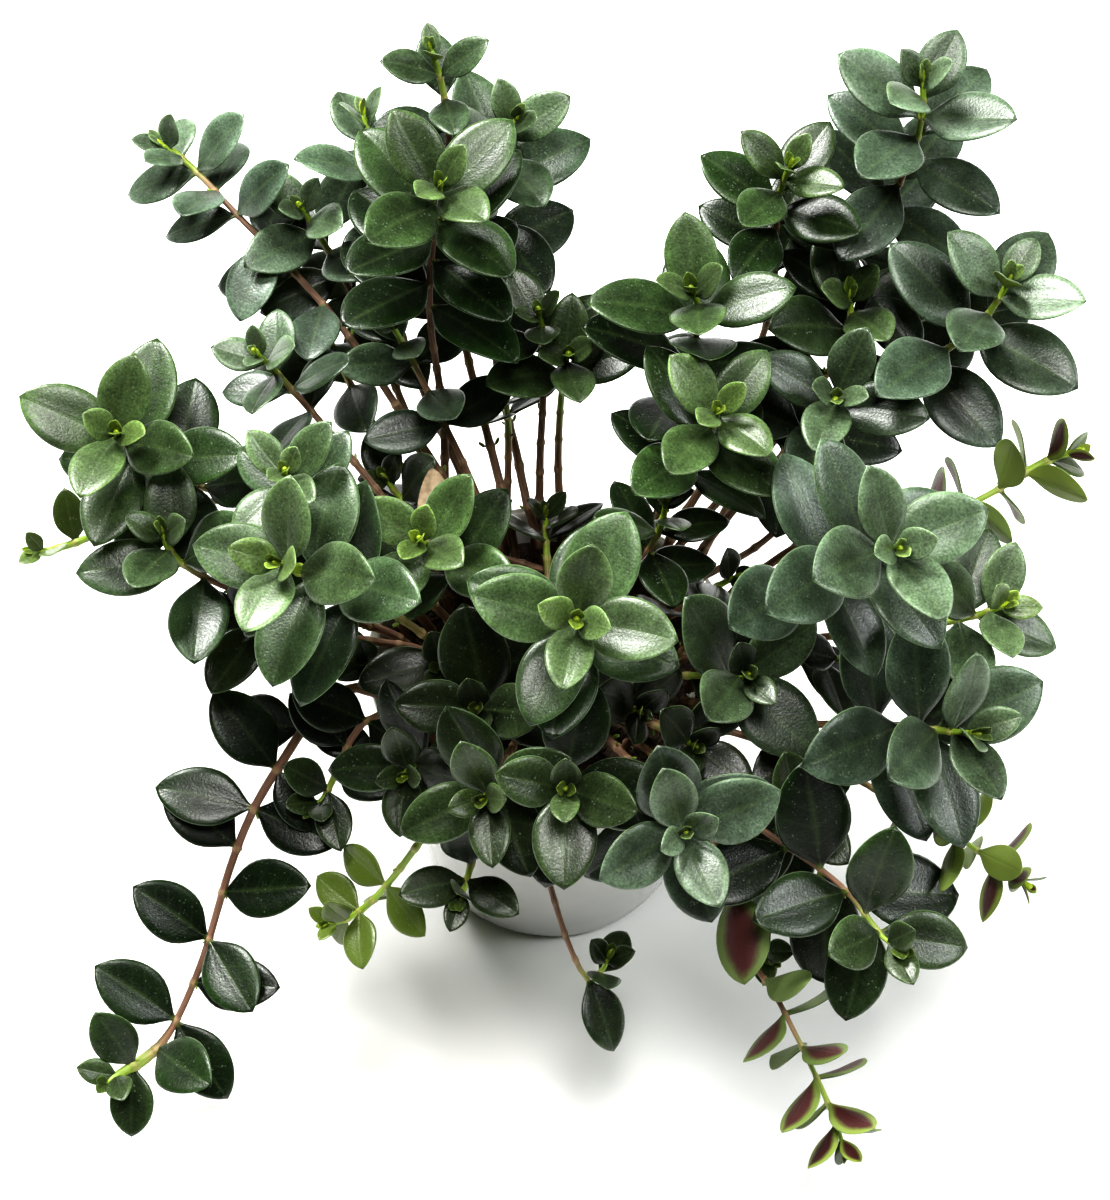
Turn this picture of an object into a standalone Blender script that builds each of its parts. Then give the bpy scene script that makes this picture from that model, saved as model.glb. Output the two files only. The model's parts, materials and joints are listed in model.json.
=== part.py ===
"""A goldfish plant in a round white pot: the pot, the soil in it, and its leafy stems.

Metres, +Z up. The origin is the centre of the pot's base, and -Y is the front, from where the plant is seen.
"""
import math
import random
from collections import namedtuple

import bmesh
import bpy
import numpy as np
from mathutils import Quaternion, Vector
from mathutils.bvhtree import BVHTree

MM = 0.001
GAP = 0.3 * MM  # clearance between pieces that touch

# The pot
POT_HEIGHT = 110 * MM
POT_TOP_RADIUS = 59 * MM
POT_BASE_RADIUS = 45 * MM
POT_WALL = 4 * MM
POT_FLOOR = 6 * MM
POT_SIDES = 36
DRAIN_RADIUS = 4.5 * MM
DRAIN_RING = 23 * MM
DRAINS = 4

# The soil
SOIL_TOP = 98 * MM
SOIL_DOME = 2.5 * MM
SOIL_RINGS = 2

# The stems
STEM_FOOT_RADIUS = 1.9 * MM
STEM_TIP_RADIUS = 1.0 * MM
STEM_SUNK = 12 * MM
STEM_STEP = 7 * MM
STEM_SPACING = 5.4 * MM  # between the centre lines of two stems
STEM_BEND = 0.7 * MM  # how far a stem's sides may cut across a bend
CORNER = 1.15  # from a stem's radius to the corners of its four sides
HOLE_SLACK = 0.35 * MM

# The leaves, as shares of a leaf's own length where no unit is given
LEAF_HALF_WIDTH = 0.3
LEAF_THICKNESS = 0.8 * MM
LEAF_ROWS = (0.28, 0.66, 1.0)
LEAF_BAND = 1.0 * MM  # half the height of the stem's face that a leaf grows from
FIRST_PAIR = 2  # the smaller pairs above this one are part of the bud

# How far below the tip each pair grows, in internodes, and how large and how open it is
PAIR_PLACE = (0.12, 0.36, 0.75, 1.3, 2.0, 2.85, 3.8)
PAIR_SIZE = (0.22, 0.46, 0.76, 0.94, 1.0)
PAIR_PITCH = (14, 33, 52, 64, 72, 77, 80)

# From this lean on, a trailing stem carries its leaves in two rows instead of crosswise
TWO_ROWS = 0.6

# The direction that the light comes from, and the two directions across the front view
LIGHT = Vector((0.0, -0.35, 0.94))
VIEW_RIGHT = Vector((1.0, 0.0, 0.0))
VIEW_UP = Vector((0.0, 0.819, 0.574))

Shoot = namedtuple("Shoot", "name tip face leaf pairs gap spin lean root via")
Leaf = namedtuple("Leaf", "shoot rank place origin along normal length arch fold")


def shoot(name, tip, face, leaf=27, pairs=5, gap=11, spin=None, lean=0.0, root=None, via=()):
    """One leafy stem, in millimetres: its growing tip, the way the tip points, the length of a grown
    leaf, the pairs of leaves, the internode, the turn of the pairs as seen from the front, how far its
    leaves lean to the light, where it leaves the soil, and points that it passes."""
    return Shoot(name, tip, face, leaf, pairs, gap, spin, lean, root, via)


SHOOTS = (
    # At the back left
    shoot("back_left_long", (-124, 125, 211), (-0.65, -0.28, 0.71), 27, 9, 13, 0, 0.45,
          root=(-29, 58), via=((-39, 50, 145), (-66, 77, 178), (-96, 101, 200))),
    shoot("back_left_upright", (-58, 119, 231), (-0.23, 0.72, 0.65), 29, 7, 16, 75, 0.15,
          via=((-50, 90, 170),)),
    shoot("back_left_rosette", (-32, 64, 255), (0.05, -0.45, 0.85), 35, 9, 9, 45, 0.1,
          root=(-31, 50), via=((-34, 56, 150), (-37, 63, 205))),
    shoot("back_left_inner", (-78, 101, 207), (-0.29, -0.22, 0.93), 29, 7, 10, 55, 0.55),
    shoot("back_left_lower", (-72, 85, 170), (-0.11, 0.2, 0.97), 30, 5, 11, 50, 0.55),
    shoot("back_tall", (-36, 111, 265), (-0.36, 0.36, 0.86), 24, 7, 14, 105, 0.5, via=((-30, 85, 180),)),
    shoot("back_shoulder", (-10, 107, 240), (0.5, -0.01, 0.87), 33, 8, 14, 105, 0.5, via=((-18, 80, 160),)),
    shoot("back_middle", (5, 49, 198), (0.08, -0.61, 0.79), 29, 4, 14, 15, 0,
          root=(1, 56), via=((2, 57, 140),)),
    shoot("back_middle_low", (-4, 60, 205), (-0.15, -0.2, 0.95), 26, 4, 12, 30, 0.1, root=(-14, 48)),
    shoot("back_dark", (-16, 67, 160), (-0.28, -0.13, 0.95), 22, 4, 9, 70, 0, root=(-25, 62)),
    shoot("back_left_side", (-51, 70, 191), (-0.45, 0.22, 0.86), 25, 6, 14, 30, 0.55),
    shoot("back_left_small", (-89, 48, 200), (-0.23, -0.35, 0.91), 24, 6, 11, 90, 0.15),
    # At the left
    shoot("left_high", (-129, 21, 195), (0.35, -0.48, 0.81), 34, 8, 9, 165, 0.5),
    shoot("left_low", (-116, -1, 177), (0.08, 0.27, 0.96), 34, 6, 12, 165, 0.5),
    shoot("left_trailing", (-167, 28, 125), (-0.98, -0.14, 0.16), 20, 7, 12, 15, 0.55,
          via=((-80, 28, 150), (-125, 32, 140))),
    shoot("left_rosette", (-78, -30, 200), (-0.25, -0.49, 0.83), 36, 7, 11, 162, 0.1),
    shoot("left_upper", (-77, -1, 205), (0.2, -0.36, 0.91), 24, 6, 9, 45, 0.1),
    shoot("left_inner", (-53, 42, 146), (-0.19, -0.36, 0.91), 26, 5, 9, 25, 0.4),
    shoot("left_bottom", (-95, -13, 150), (-0.13, -0.4, 0.91), 29, 5, 10, 75, 0.25),
    shoot("left_bright", (-39, -7, 180), (-0.05, -0.45, 0.85), 30, 6, 11, 60, 0.1),
    # In the middle and at the back right
    shoot("centre_rosette", (7, -53, 205), (0.0, -0.57, 0.82), 34, 7, 10, -19, 0.0),
    shoot("centre_upright", (34, 4, 185), (0.0, 0.1, 0.95), 25, 7, 12, 20, 0.0),
    shoot("centre_back", (-2, 42, 128), (0.05, -0.1, 0.95), 24, 4, 8, 55, 0.2),
    shoot("right_pair_upper", (41, 49, 227), (-0.34, -0.3, 0.89), 35, 7, 12, 0, 0.1),
    shoot("right_pair_lower", (48, 13, 215), (0, -0.45, 0.85), 30, 7, 10, 45, 0),
    shoot("back_right_inner", (71, 87, 240), (0.29, -0.04, 0.96), 28, 8, 10, 60, 0.4, via=((66, 80, 165),)),
    shoot("back_right_tall", (108, 98, 265), (-0.18, 0.38, 0.91), 32, 10, 11, 135, 0.4,
          via=((90, 90, 180),)),
    shoot("back_right_under", (91, 70, 202), (-0.23, 0.27, 0.93), 34, 6, 10, 45, 0.55),
    shoot("back_right_outer", (136, 58, 223), (0.37, 0.43, 0.82), 35, 8, 11, 60, 0.55,
          via=((73, 62, 150), (101, 53, 180), (125, 52, 203))),
    shoot("back_right_low", (84, 29, 201), (-0.36, -0.79, 0.5), 31, 7, 10, 165, 0.55),
    # At the right
    shoot("right_rosette", (96, -38, 218), (0.05, -0.63, 0.77), 36, 8, 11, 20, 0.1),
    shoot("right_trailing", (161, 30, 175), (0.93, -0.16, 0.32), 23, 7, 14, 30, 0,
          via=((85, 12, 160), (124, 15, 166))),
    shoot("right_side", (135, -20, 165), (0.79, 0.09, 0.6), 30, 5, 8, 5, 0.45),
    shoot("right_spread", (121, -67, 168), (0.88, -0.28, 0.39), 36, 7, 11, 10, 0.2,
          via=((64, -34, 120), (96, -46, 140))),
    shoot("right_middle", (58, 8, 140), (0.12, -0.48, 0.87), 31, 5, 14, 135, 0.3),
    shoot("right_inner", (58, -39, 156), (-0.07, -0.45, 0.89), 36, 6, 12, 130, 0.2),
    shoot("right_under", (89, -28, 150), (-0.08, -0.35, 0.93), 27, 5, 12, 75, 0.15),
    # At the front
    shoot("front_dark", (43, -49, 132), (0.05, -0.55, 0.8), 31, 4, 8, 50, 0.1),
    shoot("front_deep", (27, -34, 127), (0, -0.4, 0.9), 33, 5, 8, 55, 0.1),
    shoot("front_right", (102, -109, 115), (0.72, -0.58, 0.38), 36, 7, 12, 112, 0.55,
          via=((57, -68, 122), (85, -88, 118))),
    shoot("front_right_inner", (79, -67, 124), (0.58, -0.12, 0.8), 30, 6, 9, 30, 0.55),
    shoot("front_right_outer", (144, -82, 105), (0.54, -0.74, 0.4), 19, 8, 10, 25, 0,
          via=((72, -48, 128), (112, -68, 122))),
    shoot("front_right_low", (66, -98, 88), (0.55, -0.82, 0.16), 27, 4, 9, 90, 0.55,
          via=((46, -66, 120),)),
    shoot("front_right_trailing", (88, -150, 64), (0.24, -0.85, -0.48), 21, 8, 12, 105, 0,
          via=((50, -66, 119), (55, -97, 104), (69, -115, 90))),
    shoot("front_left_inner", (-20, -78, 150), (-0.25, -0.6, 0.76), 31, 5, 8, 20, 0.1),
    shoot("front_middle", (4, -79, 157), (-0.05, -0.4, 0.91), 34, 6, 8, 80, 0.1),
    shoot("front_rosette", (38, -92, 155), (-0.05, -0.37, 0.93), 33, 6, 8, 24, 0),
    shoot("front_shade", (-22, -44, 145), (-0.05, -0.4, 0.92), 35, 5, 8, 90, 0.1),
    shoot("front_left_small", (-44, -61, 135), (0.05, -0.57, 0.82), 27, 5, 9, 10, 0.1),
    shoot("front_left_dark", (-34, -20, 131), (0.61, -0.73, 0.31), 36, 5, 8, 100, 0.5),
    shoot("front_left_under", (-59, -11, 120), (-0.52, -0.57, 0.64), 29, 5, 7, 50, 0.5),
    shoot("front_hanging", (18, -94, 84), (0.06, -0.77, 0.63), 25, 4, 12, 170, 0.35,
          via=((-3, -68, 117), (3, -89, 94), (12, -99, 74))),
    shoot("front_left_curled", (-28, -87, 104), (-0.04, -0.29, 0.96), 30, 4, 10, 75, 0.55,
          via=((-20, -66, 119),)),
    shoot("front_left_pale", (-71, -79, 75), (-0.8, -0.25, 0.54), 20, 6, 10, 165, 0.4,
          via=((-36, -66, 114),)),
    shoot("front_left_trailing", (-143, -113, 30), (-0.56, -0.83, 0.05), 31, 12, 16, 0, 0.65,
          via=((-64, -17, 115), (-87, -38, 98), (-101, -52, 72), (-113, -79, 46), (-126, -99, 30))),
    shoot("front_left_side", (-76, -50, 94), (-0.71, -0.59, 0.4), 27, 6, 13, 0, 0.65,
          via=((-57, -30, 117),)),
)

BARE_TWIGS = (
    shoot("dry_twig_right", (83, 38, 150), (0.4, 0.1, 0.9), pairs=0, via=((68, 32, 126),)),
    shoot("dry_twig_back", (-29, 31, 120), (-0.9, 0.0, 0.4), pairs=0, root=(3, 31)),
)


def settle_roots(shoots):
    """Where each stem leaves the soil: towards its tip, and a little apart from the others."""
    fixed = [s.root is not None for s in shoots]
    limit = POT_TOP_RADIUS - POT_WALL - 8 * MM
    places = []
    for s in shoots:
        aim = Vector(s.root or s.tip[:2]) * MM
        if s.root is None:
            aim = aim.normalized() * min(limit, 4 * MM + 0.3 * aim.length)
        places.append(aim.normalized() * min(aim.length, limit))
    for _ in range(200):
        for i, a in enumerate(places):
            for j in range(i):
                away = a - places[j]
                short = 9.5 * MM - away.length
                if short > 0:
                    push = away.normalized() * short * 0.5
                    a += push * (0 if fixed[i] and not fixed[j] else 1)
                    places[j] -= push * (0 if fixed[j] and not fixed[i] else 1)
            if a.length > limit:
                a *= limit / a.length
    return places


def grow_route(root, s):
    """The stem's centre line, from its foot in the soil to its tip, with points evenly spaced."""
    foot = Vector((root.x, root.y, SOIL_TOP - STEM_SUNK))
    collar = Vector((root.x, root.y, SOIL_TOP + 5 * MM))
    tip = Vector(s.tip) * MM
    stops = [collar, *(Vector(p) * MM for p in s.via), tip]
    ways = [Vector((0, 0, 1)) * (stops[1] - stops[0]).length * 0.9]
    ways += [(stops[i + 1] - stops[i - 1]) * 0.5 for i in range(1, len(stops) - 1)]
    ways.append(Vector(s.face).normalized() * (stops[-1] - stops[-2]).length * 0.9)
    fine = [foot]
    for p, q, way_p, way_q in zip(stops, stops[1:], ways, ways[1:]):
        for k in range(16):
            t = k / 16
            fine.append(p * (2 * t**3 - 3 * t**2 + 1) + way_p * (t**3 - 2 * t**2 + t)
                        + q * (3 * t**2 - 2 * t**3) + way_q * (t**3 - t**2))
    fine.append(tip)
    return respace(fine, STEM_STEP)


def respace(points, step):
    """The same line with evenly spaced points."""
    line = np.array(points)
    run = np.concatenate([[0], np.cumsum(np.linalg.norm(np.diff(line, axis=0), axis=1))])
    count = max(4, round(run[-1] / step))
    at = np.linspace(0, run[-1], count + 1)
    return np.stack([np.interp(at, run, line[:, k]) for k in range(3)], axis=1)


def bend_clear(routes):
    """Bend the stems clear of each other and of the pot's rim, a little at a time."""
    for _ in range(120):
        for i, a in enumerate(routes):
            for b in routes[:i]:
                away = a[:, None] - b[None]
                far = np.linalg.norm(away, axis=2)
                ka, kb = np.unravel_index(np.argmin(far), far.shape)
                short = STEM_SPACING - far[ka, kb]
                if short > 0:
                    push = away[ka, kb] / max(far[ka, kb], 1e-6) * short * 0.5
                    push_near(a, ka, push)
                    push_near(b, kb, -push)
            lift_over_rim(a)
    return routes


def push_near(line, k, push):
    """Move a line's points near point k, less so further away, and never its foot or its tip."""
    near = np.arange(len(line)) - k
    share = np.exp(-((near * STEM_STEP / (16 * MM)) ** 2))
    share[:3] = 0
    share[-1] = 0
    line += share[:, None] * push


def lift_over_rim(line):
    """Lift what passes over the pot's wall until it clears the rim."""
    out = np.linalg.norm(line[:, :2], axis=1)
    over = (out > POT_TOP_RADIUS - 9 * MM) & (out < POT_TOP_RADIUS + 3.5 * MM)
    low = POT_HEIGHT + 3.5 * MM - line[:, 2]
    for k in np.nonzero(over & (low > 0))[0]:
        push_near(line, k, np.array((0, 0, low[k] * 0.5)))


def stem_radius(share):
    return STEM_FOOT_RADIUS + (STEM_TIP_RADIUS - STEM_FOOT_RADIUS) * share


def frames_from_tip(line, s, chance):
    """At each point of the stem, from the tip down: the way it grows and a direction across it."""
    points = [Vector(p) for p in line[::-1]]
    ways = [(points[max(k - 1, 0)] - points[min(k + 1, len(points) - 1)]).normalized()
            for k in range(len(points))]
    turn = math.radians(s.spin if s.spin is not None else chance.uniform(0, 180))
    across = VIEW_RIGHT * math.cos(turn) + VIEW_UP * math.sin(turn)
    across = (across - ways[0] * across.dot(ways[0])).normalized()
    frames = [(points[0], ways[0], across)]
    for point, way in zip(points[1:], ways[1:]):
        across = frames[-1][1].rotation_difference(way) @ across
        across = (across - way * across.dot(way)).normalized()
        frames.append((point, way, across))
    return frames


def frame_below(frames, distance):
    """The stem's point, way and across direction at a distance below its tip."""
    for above, below in zip(frames, frames[1:]):
        step = (above[0] - below[0]).length
        if distance <= step:
            t = distance / step
            return [a.lerp(b, t) if i == 0 else a.lerp(b, t).normalized()
                    for i, (a, b) in enumerate(zip(above, below))]
        distance -= step
    return None


def pick(values, k):
    return values[min(k, len(values) - 1)]


def pair_place(k):
    """How far below the tip pair k grows, in internodes."""
    extra = max(0, k - len(PAIR_PLACE) + 1)
    return pick(PAIR_PLACE, k) + extra


def leaf_wishes(s, line):
    """The leaves of one stem as they would grow with nothing in their way."""
    chance = random.Random(s.name)
    frames = frames_from_tip(line, s, chance)
    wishes = []
    for k in range(s.pairs):
        place = pair_place(k) * s.gap * MM
        frame = frame_below(frames, place)
        if frame is None or frame[0].z < SOIL_TOP + 6 * MM and frame[0].xy.length < POT_TOP_RADIUS:
            break
        point, way, across = frame
        sway = math.radians(chance.uniform(-9, 9))
        angle = sway + (0 if k % 2 else math.pi / 2)
        if s.lean >= TWO_ROWS:
            across = way.cross(LIGHT).normalized()
            angle = sway + math.radians(26 if k % 2 else -26)
        stem_way = way
        lean = Quaternion().slerp(way.rotation_difference(LIGHT), s.lean)
        way = lean @ way
        across = lean @ across
        aside = way.cross(across)
        for side in (0, math.pi):
            out = across * math.cos(angle + side) + aside * math.sin(angle + side)
            pitch = math.radians(pick(PAIR_PITCH, k) + chance.uniform(-6, 6))
            length = s.leaf * MM * pick(PAIR_SIZE, k) * chance.uniform(0.93, 1.05)
            along = way * math.cos(pitch) + out * math.sin(pitch)
            normal = way * math.sin(pitch) - out * math.cos(pitch)
            off_stem = turn_off_stem(along, stem_way, math.radians(pick(PAIR_PITCH, k)) * 0.7)
            along = off_stem @ along
            normal = roll_to_light(along, off_stem @ normal, min(1.0, 1.6 * s.lean))
            normal = Quaternion(along, math.radians(chance.uniform(-9, 9))) @ normal
            arch = chance.uniform(0.04, 0.11)
            fold = chance.uniform(0.08, 0.2)
            wishes.append(Leaf(s.name, k, place, point, along, normal, length, arch, fold))
    return wishes


def roll_to_light(along, normal, share):
    """A leaf's normal after the leaf has twisted on its stalk, by a share of the way to the light."""
    flat = LIGHT - along * LIGHT.dot(along)
    angle = math.atan2(along.dot(normal.cross(flat)), normal.dot(flat))
    return Quaternion(along, angle * share) @ normal


def turn_off_stem(along, way, least):
    """The turn that brings a leaf to at least an angle from the stem above it, and as much from below."""
    angle = along.angle(way)
    wanted = min(max(angle, least), math.pi - math.radians(45))
    return Quaternion(way.cross(along).normalized(), wanted - angle)


def half_width(share):
    """Half a leaf's width at a share of its length, as a share of its length."""
    t = min(1.0, max(0.0, (share - 0.05) / 0.95))
    return LEAF_HALF_WIDTH * (4 * t * (1 - t)) ** 0.6


def leaf_point(leaf, share, across, lift=0.0):
    """A point of a leaf: share runs along it, across from -1 to 1 between its edges, lift is above it."""
    width = max(half_width(share) * leaf.length, 1 * MM * (1 - share))
    side = leaf.normal.cross(leaf.along)
    rise = leaf.fold * abs(across) * width - leaf.arch * leaf.length * share**2
    return (leaf.origin + leaf.along * leaf.length * share + side * across * width
            + leaf.normal * (rise + lift))


def leaf_ring(leaf, share, above, below):
    """Four points round a leaf at a share of its length: its edges, a little above and below."""
    sunk = leaf.fold * half_width(share) * leaf.length
    return [leaf_point(leaf, share, -1, above), leaf_point(leaf, share, 1, above),
            leaf_point(leaf, share, 1, -below - sunk), leaf_point(leaf, share, -1, -below - sunk)]


def surface_of(rings):
    """The surface through rings of points, for finding crossings."""
    count = len(rings[0])
    faces = []
    for k in range(len(rings) - 1):
        for n in range(count):
            low = (k * count + n, k * count + (n + 1) % count)
            faces.append((*low, low[1] + count, low[0] + count))
    return BVHTree.FromPolygons([point for ring in rings for point in ring], faces)


def leaf_tree(leaf, rows=(0.06, *LEAF_ROWS)):
    """The leaf's surface, a little fatter than the leaf."""
    return surface_of([leaf_ring(leaf, share, 0.4 * MM, 0.4 * MM) for share in rows])


def stem_tree(line, extra):
    """The stem's surface as a thin tube of six sides."""
    rings = []
    for k, point in enumerate(line):
        radius = stem_radius(k / (len(line) - 1)) + extra
        way = Vector(line[min(k + 1, len(line) - 1)] - line[max(k - 1, 0)]).normalized()
        turn = Vector((0, 0, 1)).rotation_difference(way)
        spokes = [Quaternion((0, 0, 1), n * math.pi / 3) @ Vector((radius, 0, 0)) for n in range(6)]
        rings.append([Vector(point) + turn @ spoke for spoke in spokes])
    return surface_of(rings)


def clear_of_pot(leaf):
    """Whether a leaf stays out of the pot's wall, the soil and the floor."""
    for i in range(8):
        for across in (-1, -0.5, 0, 0.5, 1):
            p = leaf_point(leaf, i / 7, across)
            out = p.xy.length
            wall = POT_BASE_RADIUS + (POT_TOP_RADIUS - POT_BASE_RADIUS) * min(1, p.z / POT_HEIGHT)
            if p.z < 2.5 * MM or out < wall + 1.5 * MM and p.z < SOIL_TOP + 3.5 * MM:
                return False
            if wall - POT_WALL - 1.5 * MM < out < wall + 1.5 * MM and p.z < POT_HEIGHT + 1.5 * MM:
                return False
    return True


def middle_gap(leaf, other):
    """The distance between the middles of two leaves, less half of both lengths."""
    return (leaf_point(leaf, 0.5, 0) - leaf_point(other, 0.5, 0)).length - 0.5 * (leaf.length + other.length)


def tries(leaf, way):
    """The leaf as it grew, and then turned, bent and smaller, until it finds room."""
    for size in (1.0, 0.88, 0.76):
        for pitch, yaw in ((0, 0), (-10, 0), (10, 0), (0, 14), (0, -14), (-20, 0), (18, 0), (-10, 22),
                           (-10, -22), (12, 22), (12, -22), (-30, 0)):
            side = leaf.normal.cross(leaf.along)
            turn = Quaternion(side, math.radians(-pitch)) @ Quaternion(way, math.radians(yaw))
            if leaf.rank >= FIRST_PAIR and (turn @ leaf.along).angle(way) < math.radians(33):
                continue
            yield leaf._replace(along=turn @ leaf.along, normal=turn @ leaf.normal,
                                length=leaf.length * size)


def grow_leaves(shoots, routes):
    """Every leaf of the plant in a place of its own, the ones nearest the tips first."""
    wishes = [leaf for s, line in zip(shoots, routes) for leaf in leaf_wishes(s, line)]
    wishes.sort(key=lambda leaf: leaf.rank)
    stems = {s.name: stem_tree(line, 0.9 * MM) for s, line in zip(shoots, routes)}
    own_stem = {s.name: stem_tree(line, 0.3 * MM) for s, line in zip(shoots, routes)}
    lines = {s.name: line for s, line in zip(shoots, routes)}
    placed = []
    for wish in wishes:
        near = [(leaf, tree) for leaf, tree in placed
                if middle_gap(leaf, wish) < 0.25 * (leaf.length + wish.length)]
        line = lines[wish.shoot]
        at = np.argmin(np.linalg.norm(line - np.array(wish.origin), axis=1))
        way = Vector(line[min(at + 1, len(line) - 1)] - line[max(at - 1, 0)]).normalized()
        for leaf in tries(wish, way):
            if not clear_of_pot(leaf):
                continue
            blade = leaf_tree(leaf, (0.16, *LEAF_ROWS))
            if leaf.rank >= FIRST_PAIR and blade.overlap(own_stem[leaf.shoot]):
                continue
            tree = leaf_tree(leaf)
            if any(tree.overlap(stem) for name, stem in stems.items() if name != leaf.shoot):
                continue
            if any(tree.overlap(other_tree) for other, other_tree in near
                   if other.shoot != leaf.shoot or other.rank != leaf.rank > FIRST_PAIR):
                continue
            placed.append((leaf, tree))
            break
    return [leaf for leaf, tree in placed]


def paint(obj, name, colour, roughness):
    """Give an object a material of its own."""
    mat = bpy.data.materials.new(name)
    mat.use_nodes = True
    shader = mat.node_tree.nodes["Principled BSDF"]
    shader.inputs["Base Color"].default_value = (*colour, 1)
    shader.inputs["Roughness"].default_value = roughness
    shader.inputs["Metallic"].default_value = 0.0
    obj.data.materials.append(mat)


def add_object(name, mesh, collection):
    obj = bpy.data.objects.new(name, mesh)
    collection.objects.link(obj)
    return obj


def mesh_from(bm, name):
    mesh = bpy.data.meshes.new(name)
    bm.to_mesh(mesh)
    bm.free()
    return mesh


def turned(name, profile, sides, collection):
    """A turned shape: a profile in the XZ plane and a Screw modifier."""
    mesh = bpy.data.meshes.new(name)
    edges = [(i, i + 1) for i in range(len(profile) - 1)]
    mesh.from_pydata([(r, 0, z) for r, z in profile], edges, [])
    obj = add_object(name, mesh, collection)
    screw = obj.modifiers.new("Turn", "SCREW")
    screw.steps = sides
    screw.render_steps = sides
    screw.use_merge_vertices = True
    screw.merge_threshold = 0.00001
    return obj


def inner_radius(z):
    """The radius of the pot's inside at a height."""
    return POT_BASE_RADIUS + (POT_TOP_RADIUS - POT_BASE_RADIUS) * z / POT_HEIGHT - POT_WALL


def make_pot(parts, cutters):
    """The pot: a tapered wall with a rounded lip, a flat base, and drain holes beside its middle."""
    lip = POT_WALL / 2
    profile = [
        (0, POT_FLOOR),
        (inner_radius(POT_FLOOR) - 3 * MM, POT_FLOOR),
        (inner_radius(POT_FLOOR) + 0.6 * MM, POT_FLOOR + 4 * MM),
        (inner_radius(POT_HEIGHT), POT_HEIGHT - 1.2 * MM),
        (POT_TOP_RADIUS - lip, POT_HEIGHT),
        (POT_TOP_RADIUS, POT_HEIGHT - 1.2 * MM),
        (POT_BASE_RADIUS + 0.4 * MM, 3 * MM),
        (POT_BASE_RADIUS - 2.5 * MM, 0),
        (0, 0),
    ]
    pot = turned("pot", profile, POT_SIDES, parts)
    for k in range(DRAINS):
        angle = math.pi / 4 + k * math.tau / DRAINS
        bpy.ops.mesh.primitive_cylinder_add(
            vertices=10, radius=DRAIN_RADIUS, depth=4 * POT_FLOOR,
            location=(DRAIN_RING * math.cos(angle), DRAIN_RING * math.sin(angle), 0))
        put_in(bpy.context.object, "drain_cutter", cutters)
    holes = pot.modifiers.new("Drain holes", "BOOLEAN")
    holes.operation = "DIFFERENCE"
    holes.operand_type = "COLLECTION"
    holes.collection = cutters
    paint(pot, "white_glaze", (0.86, 0.86, 0.84), 0.18)
    return pot


def put_in(obj, name, collection):
    """Name an object, move it to a collection, and show it as a guide."""
    obj.name = name
    for home in list(obj.users_collection):
        home.objects.unlink(obj)
    collection.objects.link(obj)
    obj.hide_render = True
    obj.display_type = "WIRE"


def make_soil(parts, cutters, roots):
    """The soil: it fills the pot up to a low dome, with a plain hole for each stem."""
    top_radius = inner_radius(SOIL_TOP) - GAP
    profile = [(top_radius * k / SOIL_RINGS, SOIL_TOP + SOIL_DOME * (1 - (k / SOIL_RINGS) ** 2) - 1.2 * MM)
               for k in range(SOIL_RINGS + 1)]
    profile += [(inner_radius(POT_FLOOR) + 0.6 * MM - GAP, POT_FLOOR + 4 * MM + GAP),
                (inner_radius(POT_FLOOR) - 3 * MM - GAP, POT_FLOOR + GAP),
                (0, POT_FLOOR + GAP)]
    soil = turned("soil", profile, POT_SIDES // 2, parts)
    for root in roots:
        radius = (STEM_FOOT_RADIUS * CORNER + HOLE_SLACK) / math.cos(math.pi / 8)
        bpy.ops.mesh.primitive_cylinder_add(
            vertices=8, radius=radius, depth=2 * STEM_SUNK,
            location=(root.x, root.y, SOIL_TOP - GAP))
        put_in(bpy.context.object, "hole_cutter", cutters)
    holes = soil.modifiers.new("Stem holes", "BOOLEAN")
    holes.operation = "DIFFERENCE"
    holes.operand_type = "COLLECTION"
    holes.collection = cutters
    paint(soil, "potting_soil", (0.045, 0.028, 0.018), 0.95)
    return soil


def stem_stations(line, frames, leaves):
    """A stem's rings: how far below the tip each lies, and how far its four sides are turned.

    There is one at each bend, and one above and one below each pair of leaves, whose sides face them."""
    run = np.concatenate([[0], np.cumsum(np.linalg.norm(np.diff(line[::-1], axis=0), axis=1))])
    turns = {leaf.place: side_turn(leaf, frames) for leaf in leaves}
    stations = [(place + side * LEAF_BAND, turn) for place, turn in turns.items() for side in (-1, 1)]
    for distance in (0.0, *(run[k] for k in bends(line[::-1], 0, len(line) - 3)), run[-3], run[-1] - 1e-6):
        near = min(turns, key=lambda place: abs(place - distance), default=None)
        if near is None or abs(near - distance) > 4 * MM:
            stations.append((distance, turns.get(near, 0.0)))
    return sorted(stations)


def side_turn(leaf, frames):
    """The turn, an eighth of a circle at most, that points one of the stem's sides at a leaf."""
    point, way, across = frame_below(frames, leaf.place)
    angle = math.atan2(leaf.along.dot(way.cross(across)), leaf.along.dot(across))
    return (angle + math.pi / 4) % (math.pi / 2) - math.pi / 4


def bends(line, first, last):
    """The points between two others that the stem has to pass to keep its shape."""
    if last - first < 2:
        return []
    chord = line[last] - line[first]
    off = np.linalg.norm(np.cross(line[first + 1:last] - line[first], chord), axis=1) / np.linalg.norm(chord)
    far = first + 1 + int(np.argmax(off))
    if off.max() < STEM_BEND:
        return []
    return [*bends(line, first, far), far, *bends(line, far, last)]


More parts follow.
